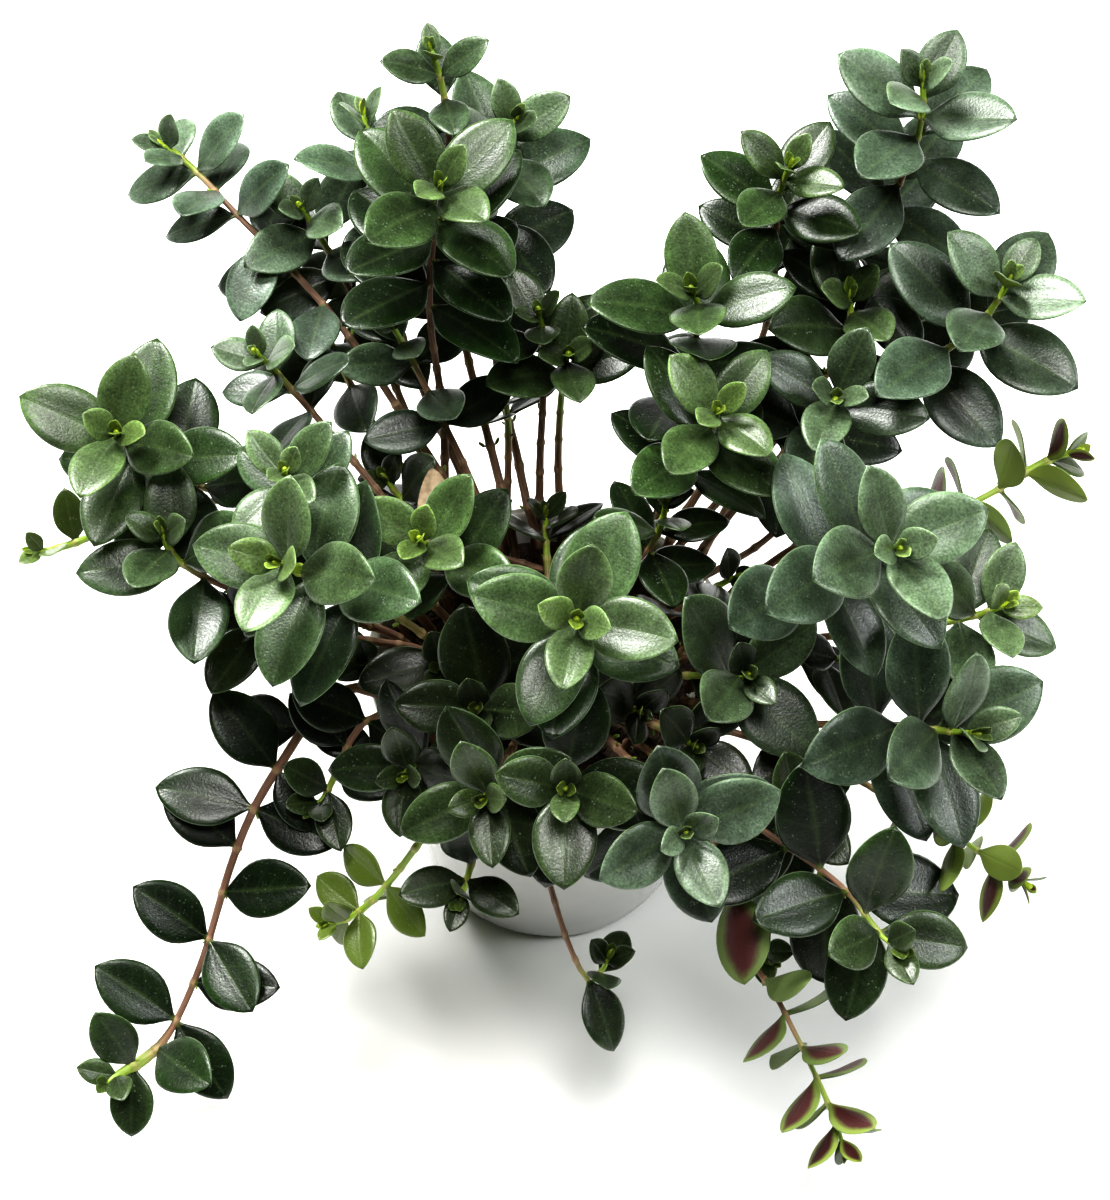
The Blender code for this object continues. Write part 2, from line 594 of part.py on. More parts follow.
def stem_mesh(s, line, leaves):
    """A stem with four sides, drawn from its tip down to its foot, with its leaves raised from its sides."""
    frames = frames_from_tip(line, s, random.Random(s.name))
    stations = stem_stations(line, frames, leaves)
    bm = bmesh.new()
    end = bmesh.ops.create_circle(bm, segments=4, radius=1, cap_ends=True)["verts"][0].link_faces[0]
    spokes = {v: math.atan2(v.co.y, v.co.x) + math.pi / 4 for v in end.verts}
    bands = []
    for step, (distance, turn) in enumerate(stations):
        if step:
            before = {v: spokes[v] for v in end.verts}
            end = bmesh.ops.extrude_discrete_faces(bm, faces=[end])["faces"][0]
            for v in end.verts:
                twin = next(u for e in v.link_edges for u in e.verts if u in before)
                spokes[v] = before[twin]
        place_ring(end, spokes, frames, distance, turn, 1 - distance / stations[-1][0])
        for leaf in leaves:
            if abs(distance - leaf.place - LEAF_BAND) < 1e-7:
                bands.append((leaf, {f for v in end.verts for f in v.link_faces if f is not end}))
    bmesh.ops.holes_fill(bm, edges=bm.edges)
    bmesh.ops.recalc_face_normals(bm, faces=bm.faces)
    bm.normal_update()
    used = set()
    for leaf, faces in bands:
        free = [f for f in faces if f not in used]
        root = max(free, key=lambda f: f.normal.dot(leaf.along))
        used.add(root)
        raise_leaf(bm, root, leaf)
    bmesh.ops.triangulate(bm, faces=bm.faces)
    bmesh.ops.recalc_face_normals(bm, faces=bm.faces)
    return mesh_from(bm, s.name)


def place_ring(end, spokes, frames, distance, turn, share):
    """Move a ring's corners round the stem's centre line."""
    point, way, across = frame_below(frames, distance)
    aside = way.cross(across)
    radius = stem_radius(share) * CORNER
    for v in end.verts:
        angle = spokes[v] + turn
        v.co = point + (across * math.cos(angle) + aside * math.sin(angle)) * radius


def raise_leaf(bm, root, leaf):
    """Raise a leaf from a face of the stem, ring by ring, and close it at its tip."""
    end = root
    for share in LEAF_ROWS:
        end = bmesh.ops.extrude_discrete_faces(bm, faces=[end])["faces"][0]
        half = LEAF_THICKNESS / 2
        sunk = leaf.fold * half_width(share) * leaf.length / 2
        ring = [leaf_point(leaf, share, side, lift - sunk)
                for side, lift in ((-1, -half), (1, -half), (1, half), (-1, half))]
        for v, corner in zip(end.verts, nearest_turn(end, ring)):
            v.co = corner
    bmesh.ops.pointmerge(bm, verts=end.verts, merge_co=leaf_point(leaf, 1.0, 0))


def nearest_turn(end, ring):
    """The ring's points from the start that twists the leaf least."""
    centre = end.calc_center_median()
    middle = sum(ring, Vector()) / 4

    def agreement(order):
        return sum((v.co - centre).normalized().dot((corner - middle).normalized())
                   for v, corner in zip(end.verts, order))

    return max((ring[k:] + ring[:k] for k in range(4)), key=agreement)


def make_stem(s, line, leaves, parts):
    """One leafy stem, or a bare twig where it has no leaves."""
    stem = add_object(s.name, stem_mesh(s, line, leaves), parts)
    if leaves:
        paint(stem, s.name + "_leaves", (0.04, 0.11, 0.045), 0.42)
    else:
        paint(stem, s.name + "_bark", (0.16, 0.085, 0.05), 0.8)
    return stem


def plan_plant():
    """All stems with their roots, their lines and the leaves that found room."""
    shoots = [s._replace(name=s.name + "_stem") for s in SHOOTS] + list(BARE_TWIGS)
    roots = settle_roots(shoots)
    routes = bend_clear([grow_route(root, s) for root, s in zip(roots, shoots)])
    return shoots, roots, routes, grow_leaves(shoots, routes)


def main():
    for obj in list(bpy.data.objects):
        bpy.data.objects.remove(obj)
    parts = bpy.data.collections.new("Potted goldfish plant")
    drain_cutters = bpy.data.collections.new("Drain cutters")
    hole_cutters = bpy.data.collections.new("Hole cutters")
    for collection in (parts, drain_cutters, hole_cutters):
        bpy.context.scene.collection.children.link(collection)
    shoots, roots, routes, leaves = plan_plant()
    make_pot(parts, drain_cutters)
    make_soil(parts, hole_cutters, roots)
    for s, line in zip(shoots, routes):
        grown = [leaf for leaf in leaves if leaf.shoot == s.name and leaf.rank >= FIRST_PAIR]
        make_stem(s, line, grown, parts)


if __name__ == "__main__":
    main()
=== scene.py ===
"""The finished look of the potted goldfish plant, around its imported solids.

Metres, +Z up, in the frame of the solids: the origin is the centre of the pot's base and -Y is the front.
The plan of the plant below is the one that the solids grew from, so every leaf lies where its solid is.
"""

import json
import math
import random
from collections import namedtuple
from functools import partialmethod

import bmesh
import bpy
import numpy as np
from mathutils import Matrix, Quaternion, Vector, noise
from mathutils.bvhtree import BVHTree

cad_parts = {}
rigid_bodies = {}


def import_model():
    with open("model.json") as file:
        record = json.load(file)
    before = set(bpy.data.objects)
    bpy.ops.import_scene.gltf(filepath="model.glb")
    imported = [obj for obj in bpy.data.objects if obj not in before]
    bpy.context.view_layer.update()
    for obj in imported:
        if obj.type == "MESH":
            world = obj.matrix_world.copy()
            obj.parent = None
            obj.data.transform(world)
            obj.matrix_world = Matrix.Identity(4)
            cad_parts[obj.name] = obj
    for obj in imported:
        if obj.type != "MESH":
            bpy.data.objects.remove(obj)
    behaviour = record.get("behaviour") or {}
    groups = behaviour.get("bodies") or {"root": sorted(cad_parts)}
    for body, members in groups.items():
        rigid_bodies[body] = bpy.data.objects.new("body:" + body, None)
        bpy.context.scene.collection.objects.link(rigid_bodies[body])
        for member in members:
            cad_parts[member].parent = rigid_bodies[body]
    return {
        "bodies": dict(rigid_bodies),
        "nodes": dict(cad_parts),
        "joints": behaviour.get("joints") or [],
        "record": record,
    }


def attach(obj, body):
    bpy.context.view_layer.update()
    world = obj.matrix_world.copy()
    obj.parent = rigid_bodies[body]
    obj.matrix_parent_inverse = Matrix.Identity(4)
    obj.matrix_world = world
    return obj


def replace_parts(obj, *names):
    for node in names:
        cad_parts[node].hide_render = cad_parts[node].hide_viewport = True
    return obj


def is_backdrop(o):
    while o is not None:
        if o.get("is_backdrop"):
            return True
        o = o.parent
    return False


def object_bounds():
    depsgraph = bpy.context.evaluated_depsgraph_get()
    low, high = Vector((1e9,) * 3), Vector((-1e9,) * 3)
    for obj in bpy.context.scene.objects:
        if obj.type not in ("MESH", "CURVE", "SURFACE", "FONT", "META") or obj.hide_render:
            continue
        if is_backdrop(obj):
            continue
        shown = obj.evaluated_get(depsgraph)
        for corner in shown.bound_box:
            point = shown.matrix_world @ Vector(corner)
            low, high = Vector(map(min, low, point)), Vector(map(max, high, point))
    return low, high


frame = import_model()
cad_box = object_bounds()
noise.seed_set(1)  # noise_vector would start from the time of day

MM = 0.001
GAP = 0.3 * MM  # clearance between pieces that touch

# The pot
POT_HEIGHT = 110 * MM
POT_TOP_RADIUS = 59 * MM
POT_BASE_RADIUS = 45 * MM
POT_WALL = 4 * MM
POT_FLOOR = 6 * MM
DRAIN_RADIUS = 4.5 * MM
DRAIN_RING = 23 * MM
DRAINS = 4

# The soil
SOIL_TOP = 98 * MM
SOIL_DOME = 2.5 * MM

# The stems
STEM_FOOT_RADIUS = 1.9 * MM
STEM_TIP_RADIUS = 1.0 * MM
STEM_SUNK = 12 * MM
STEM_STEP = 7 * MM
STEM_SPACING = 5.4 * MM  # between the centre lines of two stems
ROOT_SPACING = 9.5 * MM
ROOT_INSET = 8 * MM  # no root is nearer to the pot's wall
COLLAR = 5 * MM  # how far a stem rises over the soil before it bends
RIM_CLEARANCE = 3.5 * MM
PUSH_REACH = 16 * MM  # how far along a stem a push is felt
ROOT_ROUNDS = 200
BEND_ROUNDS = 120
CURVE_STEPS = 16

# The leaves, as shares of a leaf's own length where no unit is given
LEAF_HALF_WIDTH = 0.3
LEAF_ROWS = (0.28, 0.66, 1.0)
FIRST_PAIR = 2  # the smaller pairs above this one are part of the bud

# How far below the tip each pair grows, in internodes, and how large and how open it is
PAIR_PLACE = (0.12, 0.36, 0.75, 1.3, 2.0, 2.85, 3.8)
PAIR_SIZE = (0.22, 0.46, 0.76, 0.94, 1.0)
PAIR_PITCH = (14, 33, 52, 64, 72, 77, 80)

# How much leaves differ: in degrees, and as shares of their length
SWAY = 9
PITCH_SPREAD = 6
LENGTH_SPREAD = (0.93, 1.05)
ARCHES = (0.04, 0.11)
FOLDS = (0.08, 0.2)

# The sizes, and the turns up and sideways in degrees, at which a leaf looks for room
TRIED_SIZES = (1.0, 0.88, 0.76)
TRIED_TURNS = ((0, 0), (-10, 0), (10, 0), (0, 14), (0, -14), (-20, 0), (18, 0), (-10, 22), (-10, -22),
               (12, 22), (12, -22), (-30, 0))
CLOSEST_TO_STEM = math.radians(33)
CLOSEST_BELOW = math.radians(45)
LEAF_CLEARANCE = 1.5 * MM  # from the pot's wall
LEAF_OFF_SOIL = 3.5 * MM
LEAF_OFF_FLOOR = 2.5 * MM

# From this lean on, a trailing stem carries its leaves in two rows instead of crosswise
TWO_ROWS = 0.6
TWO_ROWS_ANGLE = math.radians(26)

# The direction that the light comes from, and the two directions across the front view
LIGHT = Vector((0.0, -0.35, 0.94))
VIEW_RIGHT = Vector((1.0, 0.0, 0.0))
VIEW_UP = Vector((0.0, 0.819, 0.574))

Shoot = namedtuple("Shoot", "name tip face leaf pairs gap spin lean root via look")
Leaf = namedtuple("Leaf", "shoot rank place origin along normal length arch fold")

# What sets a shoot's look apart. Its leaves may catch the light, painted in as lighter colour, and stay
# young further down (fresh); lie in the shade, painted in as darker colour (shaded; below zero they are
# painted lighter where the window shines through them); take a grey that is partly bloom and partly painted
# sheen (grey); take an olive yellow-green, on the pale front shoot painted light shining through it
# (olive); and be wine red below (red). Its stem may swell below the tip (plump), be thinner than others
# (slim) and turn a dull brown (dull).
Look = namedtuple("Look", "dull fresh shaded grey olive red plump slim",
                  defaults=(0.0, 0.0, 0.0, 0.0, 0.1, 0.15, 0.84))


def shoot(name, tip, face, leaf=27, pairs=5, gap=11, spin=None, lean=0.0, root=None, via=(), **look):
    """One leafy stem, in millimetres: its growing tip, the way the tip points, the length of a grown
    leaf, the pairs of leaves, the internode, the turn of the pairs as seen from the front, how far its
    leaves lean to the light, where it leaves the soil, points that it passes, and its look."""
    look.setdefault("dull", 0.65 if name.startswith(("back", "centre_back")) else 0.35)
    return Shoot(name, tip, face, leaf, pairs, gap, spin, lean, root, via, Look(**look))


SHOOTS = (
    # At the back left
    shoot("back_left_long", (-124, 125, 211), (-0.65, -0.28, 0.71), 27, 9, 13, 0, 0.45,
          root=(-29, 58), via=((-39, 50, 145), (-66, 77, 178), (-96, 101, 200)), shaded=-0.75, grey=0.9),
    shoot("back_left_upright", (-58, 119, 231), (-0.23, 0.72, 0.65), 29, 7, 16, 75, 0.15,
          via=((-50, 90, 170),), shaded=-0.6, grey=0.7),
    shoot("back_left_rosette", (-32, 64, 255), (0.05, -0.45, 0.85), 35, 9, 9, 45, 0.1,
          root=(-31, 50), via=((-34, 56, 150), (-37, 63, 205))),
    shoot("back_left_inner", (-78, 101, 207), (-0.29, -0.22, 0.93), 29, 7, 10, 55, 0.55,
          shaded=-0.7, grey=0.8),
    shoot("back_left_lower", (-72, 85, 170), (-0.11, 0.2, 0.97), 30, 5, 11, 50, 0.55,
          shaded=-0.6, grey=0.7),
    shoot("back_tall", (-36, 111, 265), (-0.36, 0.36, 0.86), 24, 7, 14, 105, 0.5,
          via=((-30, 85, 180),), grey=0.35),
    shoot("back_shoulder", (-10, 107, 240), (0.5, -0.01, 0.87), 33, 8, 14, 105, 0.5,
          via=((-18, 80, 160),), shaded=-0.2, grey=0.4),
    shoot("back_middle", (5, 49, 198), (0.08, -0.61, 0.79), 29, 4, 14, 15, 0,
          root=(1, 56), via=((2, 57, 140),), fresh=0.4),
    shoot("back_middle_low", (-4, 60, 205), (-0.15, -0.2, 0.95), 26, 4, 12, 30, 0.1, root=(-14, 48)),
    shoot("back_dark", (-16, 67, 160), (-0.28, -0.13, 0.95), 22, 4, 9, 70, 0, root=(-25, 62), shaded=1.0),
    shoot("back_left_side", (-51, 70, 191), (-0.45, 0.22, 0.86), 25, 6, 14, 30, 0.55,
          shaded=-0.6, grey=0.6),
    shoot("back_left_small", (-89, 48, 200), (-0.23, -0.35, 0.91), 24, 6, 11, 90, 0.15,
          shaded=-0.5, grey=0.6),
    # At the left
    shoot("left_high", (-129, 21, 195), (0.35, -0.48, 0.81), 34, 8, 9, 165, 0.5, fresh=0.3),
    shoot("left_low", (-116, -1, 177), (0.08, 0.27, 0.96), 34, 6, 12, 165, 0.5, grey=0.2),
    shoot("left_trailing", (-167, 28, 125), (-0.98, -0.14, 0.16), 20, 7, 12, 15, 0.55,
          via=((-80, 28, 150), (-125, 32, 140)), fresh=0.5, olive=0.35, plump=0.4, dull=0.1),
    shoot("left_rosette", (-78, -30, 200), (-0.25, -0.49, 0.83), 36, 7, 11, 162, 0.1,
          fresh=0.7, grey=0.25, plump=0.9),
    shoot("left_upper", (-77, -1, 205), (0.2, -0.36, 0.91), 24, 6, 9, 45, 0.1, fresh=0.35, grey=0.3),
    shoot("left_inner", (-53, 42, 146), (-0.19, -0.36, 0.91), 26, 5, 9, 25, 0.4, shaded=0.6),
    shoot("left_bottom", (-95, -13, 150), (-0.13, -0.4, 0.91), 29, 5, 10, 75, 0.25, shaded=0.5),
    shoot("left_bright", (-39, -7, 180), (-0.05, -0.45, 0.85), 30, 6, 11, 60, 0.1, fresh=0.8, plump=0.5),
    # In the middle and at the back right
    shoot("centre_rosette", (7, -53, 205), (0.0, -0.57, 0.82), 34, 7, 10, -19, 0.0,
          fresh=0.5, grey=0.15, plump=0.5),
    shoot("centre_upright", (34, 4, 185), (0.0, 0.1, 0.95), 25, 7, 12, 20, 0.0),
    shoot("centre_back", (-2, 42, 128), (0.05, -0.1, 0.95), 24, 4, 8, 55, 0.2, shaded=0.9),
    shoot("right_pair_upper", (41, 49, 227), (-0.34, -0.3, 0.89), 35, 7, 12, 0, 0.1),
    shoot("right_pair_lower", (48, 13, 215), (0, -0.45, 0.85), 30, 7, 10, 45, 0, fresh=0.5, plump=0.5),
    shoot("back_right_inner", (71, 87, 240), (0.29, -0.04, 0.96), 28, 8, 10, 60, 0.4, via=((66, 80, 165),)),
    shoot("back_right_tall", (108, 98, 265), (-0.18, 0.38, 0.91), 32, 10, 11, 135, 0.4,
          via=((90, 90, 180),), fresh=0.2, grey=0.8),
    shoot("back_right_under", (91, 70, 202), (-0.23, 0.27, 0.93), 34, 6, 10, 45, 0.55),
    shoot("back_right_outer", (136, 58, 223), (0.37, 0.43, 0.82), 35, 8, 11, 60, 0.55,
          via=((73, 62, 150), (101, 53, 180), (125, 52, 203)), fresh=0.25, grey=0.8),
    shoot("back_right_low", (84, 29, 201), (-0.36, -0.79, 0.5), 31, 7, 10, 165, 0.55, grey=0.6),
    # At the right
    shoot("right_rosette", (96, -38, 218), (0.05, -0.63, 0.77), 36, 8, 11, 20, 0.1,
          fresh=0.4, shaded=-0.1, grey=0.7),
    shoot("right_trailing", (161, 30, 175), (0.93, -0.16, 0.32), 23, 7, 14, 30, 0,
          via=((85, 12, 160), (124, 15, 166)), fresh=0.6, olive=0.35, red=1.0, plump=0.5, dull=0.1),
    shoot("right_side", (135, -20, 165), (0.79, 0.09, 0.6), 30, 5, 8, 5, 0.45,
          fresh=0.4, shaded=-0.15, grey=0.4, red=0.7),
    shoot("right_spread", (121, -67, 168), (0.88, -0.28, 0.39), 36, 7, 11, 10, 0.2,
          via=((64, -34, 120), (96, -46, 140)), grey=0.6, red=0.3),
    shoot("right_middle", (58, 8, 140), (0.12, -0.48, 0.87), 31, 5, 14, 135, 0.3, shaded=0.7, grey=0.5),
    shoot("right_inner", (58, -39, 156), (-0.07, -0.45, 0.89), 36, 6, 12, 130, 0.2, fresh=0.3, grey=0.45),
    shoot("right_under", (89, -28, 150), (-0.08, -0.35, 0.93), 27, 5, 12, 75, 0.15, shaded=0.5, slim=0.7),
    # At the front
    shoot("front_dark", (43, -49, 132), (0.05, -0.55, 0.8), 31, 4, 8, 50, 0.1, shaded=0.9),
    shoot("front_deep", (27, -34, 127), (0, -0.4, 0.9), 33, 5, 8, 55, 0.1, shaded=1.0),
    shoot("front_right", (102, -109, 115), (0.72, -0.58, 0.38), 36, 7, 12, 112, 0.55,
          via=((57, -68, 122), (85, -88, 118)), shaded=0.5, slim=0.68, dull=0.3),
    shoot("front_right_inner", (79, -67, 124), (0.58, -0.12, 0.8), 30, 6, 9, 30, 0.55),
    shoot("front_right_outer", (144, -82, 105), (0.54, -0.74, 0.4), 19, 8, 10, 25, 0,
          via=((72, -48, 128), (112, -68, 122)), fresh=0.5, olive=0.35, red=0.9, slim=0.7),
    shoot("front_right_low", (66, -98, 88), (0.55, -0.82, 0.16), 27, 4, 9, 90, 0.55,
          via=((46, -66, 120),), fresh=0.2, red=0.6, slim=0.7),
    shoot("front_right_trailing", (88, -150, 64), (0.24, -0.85, -0.48), 21, 8, 12, 105, 0,
          via=((50, -66, 119), (55, -97, 104), (69, -115, 90)),
          fresh=0.25, olive=0.15, red=1.0, slim=0.64, dull=0.15),
    shoot("front_left_inner", (-20, -78, 150), (-0.25, -0.6, 0.76), 31, 5, 8, 20, 0.1, shaded=0.55),
    shoot("front_middle", (4, -79, 157), (-0.05, -0.4, 0.91), 34, 6, 8, 80, 0.1, shaded=0.5),
    shoot("front_rosette", (38, -92, 155), (-0.05, -0.37, 0.93), 33, 6, 8, 24, 0, grey=0.9),
    shoot("front_shade", (-22, -44, 145), (-0.05, -0.4, 0.92), 35, 5, 8, 90, 0.1, shaded=0.9),
    shoot("front_left_small", (-44, -61, 135), (0.05, -0.57, 0.82), 27, 5, 9, 10, 0.1, shaded=0.55),
    shoot("front_left_dark", (-34, -20, 131), (0.61, -0.73, 0.31), 36, 5, 8, 100, 0.5, shaded=0.75),
    shoot("front_left_under", (-59, -11, 120), (-0.52, -0.57, 0.64), 29, 5, 7, 50, 0.5, shaded=0.7),
    shoot("front_hanging", (18, -94, 84), (0.06, -0.77, 0.63), 25, 4, 12, 170, 0.35,
          via=((-3, -68, 117), (3, -89, 94), (12, -99, 74)), shaded=0.6, slim=0.68, dull=0.45),
    shoot("front_left_curled", (-28, -87, 104), (-0.04, -0.29, 0.96), 30, 4, 10, 75, 0.55,
          via=((-20, -66, 119),), shaded=0.6),
    shoot("front_left_pale", (-71, -79, 75), (-0.8, -0.25, 0.54), 20, 6, 10, 165, 0.4,
          via=((-36, -66, 114),), fresh=1.3, olive=0.75, red=0.3),
    shoot("front_left_trailing", (-143, -113, 30), (-0.56, -0.83, 0.05), 31, 12, 16, 0, 0.65,
          via=((-64, -17, 115), (-87, -38, 98), (-101, -52, 72), (-113, -79, 46), (-126, -99, 30)),
          shaded=0.4, plump=0.9, slim=0.95, dull=0.0),
    shoot("front_left_side", (-76, -50, 94), (-0.71, -0.59, 0.4), 27, 6, 13, 0, 0.65,
          via=((-57, -30, 117),), shaded=0.5),
)

BARE_TWIGS = (
    shoot("dry_twig_right", (83, 38, 150), (0.4, 0.1, 0.9), pairs=0, via=((68, 32, 126),)),
    shoot("dry_twig_back", (-29, 31, 120), (-0.9, 0.0, 0.4), pairs=0, root=(3, 31)),
)


def outer_radius(z):
    """The radius of the pot's outside at a height."""
    return POT_BASE_RADIUS + (POT_TOP_RADIUS - POT_BASE_RADIUS) * z / POT_HEIGHT


def inner_radius(z):
    return outer_radius(z) - POT_WALL


def settle_roots(shoots):
    """Where each stem leaves the soil: towards its tip, and a little apart from the others."""
    fixed = [s.root is not None for s in shoots]
    limit = POT_TOP_RADIUS - POT_WALL - ROOT_INSET
    places = []
    for s in shoots:
        aim = Vector(s.root or s.tip[:2]) * MM
        if s.root is None:
            aim = aim.normalized() * min(limit, 4 * MM + 0.3 * aim.length)
        places.append(aim.normalized() * min(aim.length, limit))
    for _ in range(ROOT_ROUNDS):
        for i, a in enumerate(places):
            for j in range(i):
                away = a - places[j]
                short = ROOT_SPACING - away.length
                if short > 0:
                    push = away.normalized() * short * 0.5
                    a += push * (0 if fixed[i] and not fixed[j] else 1)
                    places[j] -= push * (0 if fixed[j] and not fixed[i] else 1)
            if a.length > limit:
                a *= limit / a.length
    return places


def grow_route(root, s):
    """The stem's centre line, from its foot in the soil to its tip, with points evenly spaced."""
    foot = Vector((root.x, root.y, SOIL_TOP - STEM_SUNK))
    collar = Vector((root.x, root.y, SOIL_TOP + COLLAR))
    tip = Vector(s.tip) * MM
    stops = [collar, *(Vector(p) * MM for p in s.via), tip]
    ways = [Vector((0, 0, 1)) * (stops[1] - stops[0]).length * 0.9]
    ways += [(stops[i + 1] - stops[i - 1]) * 0.5 for i in range(1, len(stops) - 1)]
    ways.append(Vector(s.face).normalized() * (stops[-1] - stops[-2]).length * 0.9)
    fine = [foot]
    for p, q, way_p, way_q in zip(stops, stops[1:], ways, ways[1:]):
        for k in range(CURVE_STEPS):
            t = k / CURVE_STEPS
            fine.append(p * (2 * t**3 - 3 * t**2 + 1) + way_p * (t**3 - 2 * t**2 + t)
                        + q * (3 * t**2 - 2 * t**3) + way_q * (t**3 - t**2))
    fine.append(tip)
    return respace(fine, STEM_STEP)


def respace(points, step):
    """The same line with evenly spaced points."""
    line = np.array(points)
    run = np.concatenate([[0], np.cumsum(np.linalg.norm(np.diff(line, axis=0), axis=1))])
    count = max(4, round(run[-1] / step))
    at = np.linspace(0, run[-1], count + 1)
    return np.stack([np.interp(at, run, line[:, k]) for k in range(3)], axis=1)


def bend_clear(routes):
    """Bend the stems clear of each other and of the pot's rim, a little at a time."""
    for _ in range(BEND_ROUNDS):
        for i, a in enumerate(routes):
            for b in routes[:i]:
                away = a[:, None] - b[None]
                far = np.linalg.norm(away, axis=2)
                ka, kb = np.unravel_index(np.argmin(far), far.shape)
                short = STEM_SPACING - far[ka, kb]
                if short > 0:
                    push = away[ka, kb] / max(far[ka, kb], 1e-6) * short * 0.5
                    push_near(a, ka, push)
                    push_near(b, kb, -push)
            lift_over_rim(a)
    return routes


def push_near(line, k, push):
    """Move a line's points near point k, less so further away, and never its foot or its tip."""
    near = np.arange(len(line)) - k
    share = np.exp(-((near * STEM_STEP / PUSH_REACH) ** 2))
    share[:3] = 0
    share[-1] = 0
    line += share[:, None] * push


def lift_over_rim(line):
    """Lift what passes over the pot's wall until it clears the rim."""
    out = np.linalg.norm(line[:, :2], axis=1)
    over = (out > POT_TOP_RADIUS - 9 * MM) & (out < POT_TOP_RADIUS + RIM_CLEARANCE)
    low = POT_HEIGHT + RIM_CLEARANCE - line[:, 2]
    for k in np.nonzero(over & (low > 0))[0]:
        push_near(line, k, np.array((0, 0, low[k] * 0.5)))


def stem_radius(share):
    return STEM_FOOT_RADIUS + (STEM_TIP_RADIUS - STEM_FOOT_RADIUS) * share


def frames_from_tip(line, s, chance):
    """At each point of the stem, from the tip down: the way it grows and a direction across it."""
    points = [Vector(p) for p in line[::-1]]
    ways = [(points[max(k - 1, 0)] - points[min(k + 1, len(points) - 1)]).normalized()
            for k in range(len(points))]
    turn = math.radians(s.spin if s.spin is not None else chance.uniform(0, 180))
    across = VIEW_RIGHT * math.cos(turn) + VIEW_UP * math.sin(turn)
    across = (across - ways[0] * across.dot(ways[0])).normalized()
    frames = [(points[0], ways[0], across)]
    for point, way in zip(points[1:], ways[1:]):
        across = frames[-1][1].rotation_difference(way) @ across
        across = (across - way * across.dot(way)).normalized()
        frames.append((point, way, across))
    return frames


def frame_below(frames, distance):
    """The stem's point, way and across direction at a distance below its tip."""
    for above, below in zip(frames, frames[1:]):
        step = (above[0] - below[0]).length
        if distance <= step:
            t = distance / step
            return [a.lerp(b, t) if i == 0 else a.lerp(b, t).normalized()
                    for i, (a, b) in enumerate(zip(above, below))]
        distance -= step
    return None


def pick(values, k):
    return values[min(k, len(values) - 1)]


def pair_place(k):
    """How far below the tip pair k grows, in internodes."""
    extra = max(0, k - len(PAIR_PLACE) + 1)
    return pick(PAIR_PLACE, k) + extra


def leaf_wishes(s, line):
    """The leaves of one stem as they would grow with nothing in their way."""
    chance = random.Random(s.name)
    frames = frames_from_tip(line, s, chance)
    wishes = []
    for k in range(s.pairs):
        place = pair_place(k) * s.gap * MM
        frame = frame_below(frames, place)
        if frame is None or frame[0].z < SOIL_TOP + 6 * MM and frame[0].xy.length < POT_TOP_RADIUS:
            break
        point, way, across = frame
        sway = math.radians(chance.uniform(-SWAY, SWAY))
        angle = sway + (0 if k % 2 else math.pi / 2)
        if s.lean >= TWO_ROWS:
            across = way.cross(LIGHT).normalized()
            angle = sway + (TWO_ROWS_ANGLE if k % 2 else -TWO_ROWS_ANGLE)
        stem_way = way
        lean = Quaternion().slerp(way.rotation_difference(LIGHT), s.lean)
        way = lean @ way
        across = lean @ across
        aside = way.cross(across)
        for side in (0, math.pi):
            out = across * math.cos(angle + side) + aside * math.sin(angle + side)
            pitch = math.radians(pick(PAIR_PITCH, k) + chance.uniform(-PITCH_SPREAD, PITCH_SPREAD))
            length = s.leaf * MM * pick(PAIR_SIZE, k) * chance.uniform(*LENGTH_SPREAD)
            along = way * math.cos(pitch) + out * math.sin(pitch)
            normal = way * math.sin(pitch) - out * math.cos(pitch)
            off_stem = turn_off_stem(along, stem_way, math.radians(pick(PAIR_PITCH, k)) * 0.7)
            along = off_stem @ along
            normal = roll_to_light(along, off_stem @ normal, min(1.0, 1.6 * s.lean))
            normal = Quaternion(along, math.radians(chance.uniform(-SWAY, SWAY))) @ normal
            arch = chance.uniform(*ARCHES)
            fold = chance.uniform(*FOLDS)
            wishes.append(Leaf(s.name, k, place, point, along, normal, length, arch, fold))
    return wishes


def roll_to_light(along, normal, share):
    """A leaf's normal after the leaf has twisted on its stalk, by a share of the way to the light."""
    flat = LIGHT - along * LIGHT.dot(along)
    angle = math.atan2(along.dot(normal.cross(flat)), normal.dot(flat))
    return Quaternion(along, angle * share) @ normal


def turn_off_stem(along, way, least):
    """The turn that brings a leaf to at least an angle from the stem above it, and as much from below."""
    angle = along.angle(way)
    wanted = min(max(angle, least), math.pi - CLOSEST_BELOW)
    return Quaternion(way.cross(along).normalized(), wanted - angle)


def half_width(share):
    """Half a leaf's width at a share of its length, as a share of its length."""
    t = min(1.0, max(0.0, (share - 0.05) / 0.95))
    return LEAF_HALF_WIDTH * (4 * t * (1 - t)) ** 0.6


def leaf_point(leaf, share, across, lift=0.0):
    """A point of a leaf: share runs along it, across from -1 to 1 between its edges, lift is above it."""
    width = max(half_width(share) * leaf.length, 1 * MM * (1 - share))
    side = leaf.normal.cross(leaf.along)
    rise = leaf.fold * abs(across) * width - leaf.arch * leaf.length * share**2
    return (leaf.origin + leaf.along * leaf.length * share + side * across * width
            + leaf.normal * (rise + lift))


def leaf_ring(leaf, share, above, below):
    """Four points round a leaf at a share of its length: its edges, a little above and below."""
    sunk = leaf.fold * half_width(share) * leaf.length
    return [leaf_point(leaf, share, -1, above), leaf_point(leaf, share, 1, above),
            leaf_point(leaf, share, 1, -below - sunk), leaf_point(leaf, share, -1, -below - sunk)]


def surface_of(rings):
    """The surface through rings of points, for finding crossings."""
    count = len(rings[0])
    faces = []
    for k in range(len(rings) - 1):
        for n in range(count):
            low = (k * count + n, k * count + (n + 1) % count)
            faces.append((*low, low[1] + count, low[0] + count))
    return BVHTree.FromPolygons([point for ring in rings for point in ring], faces)


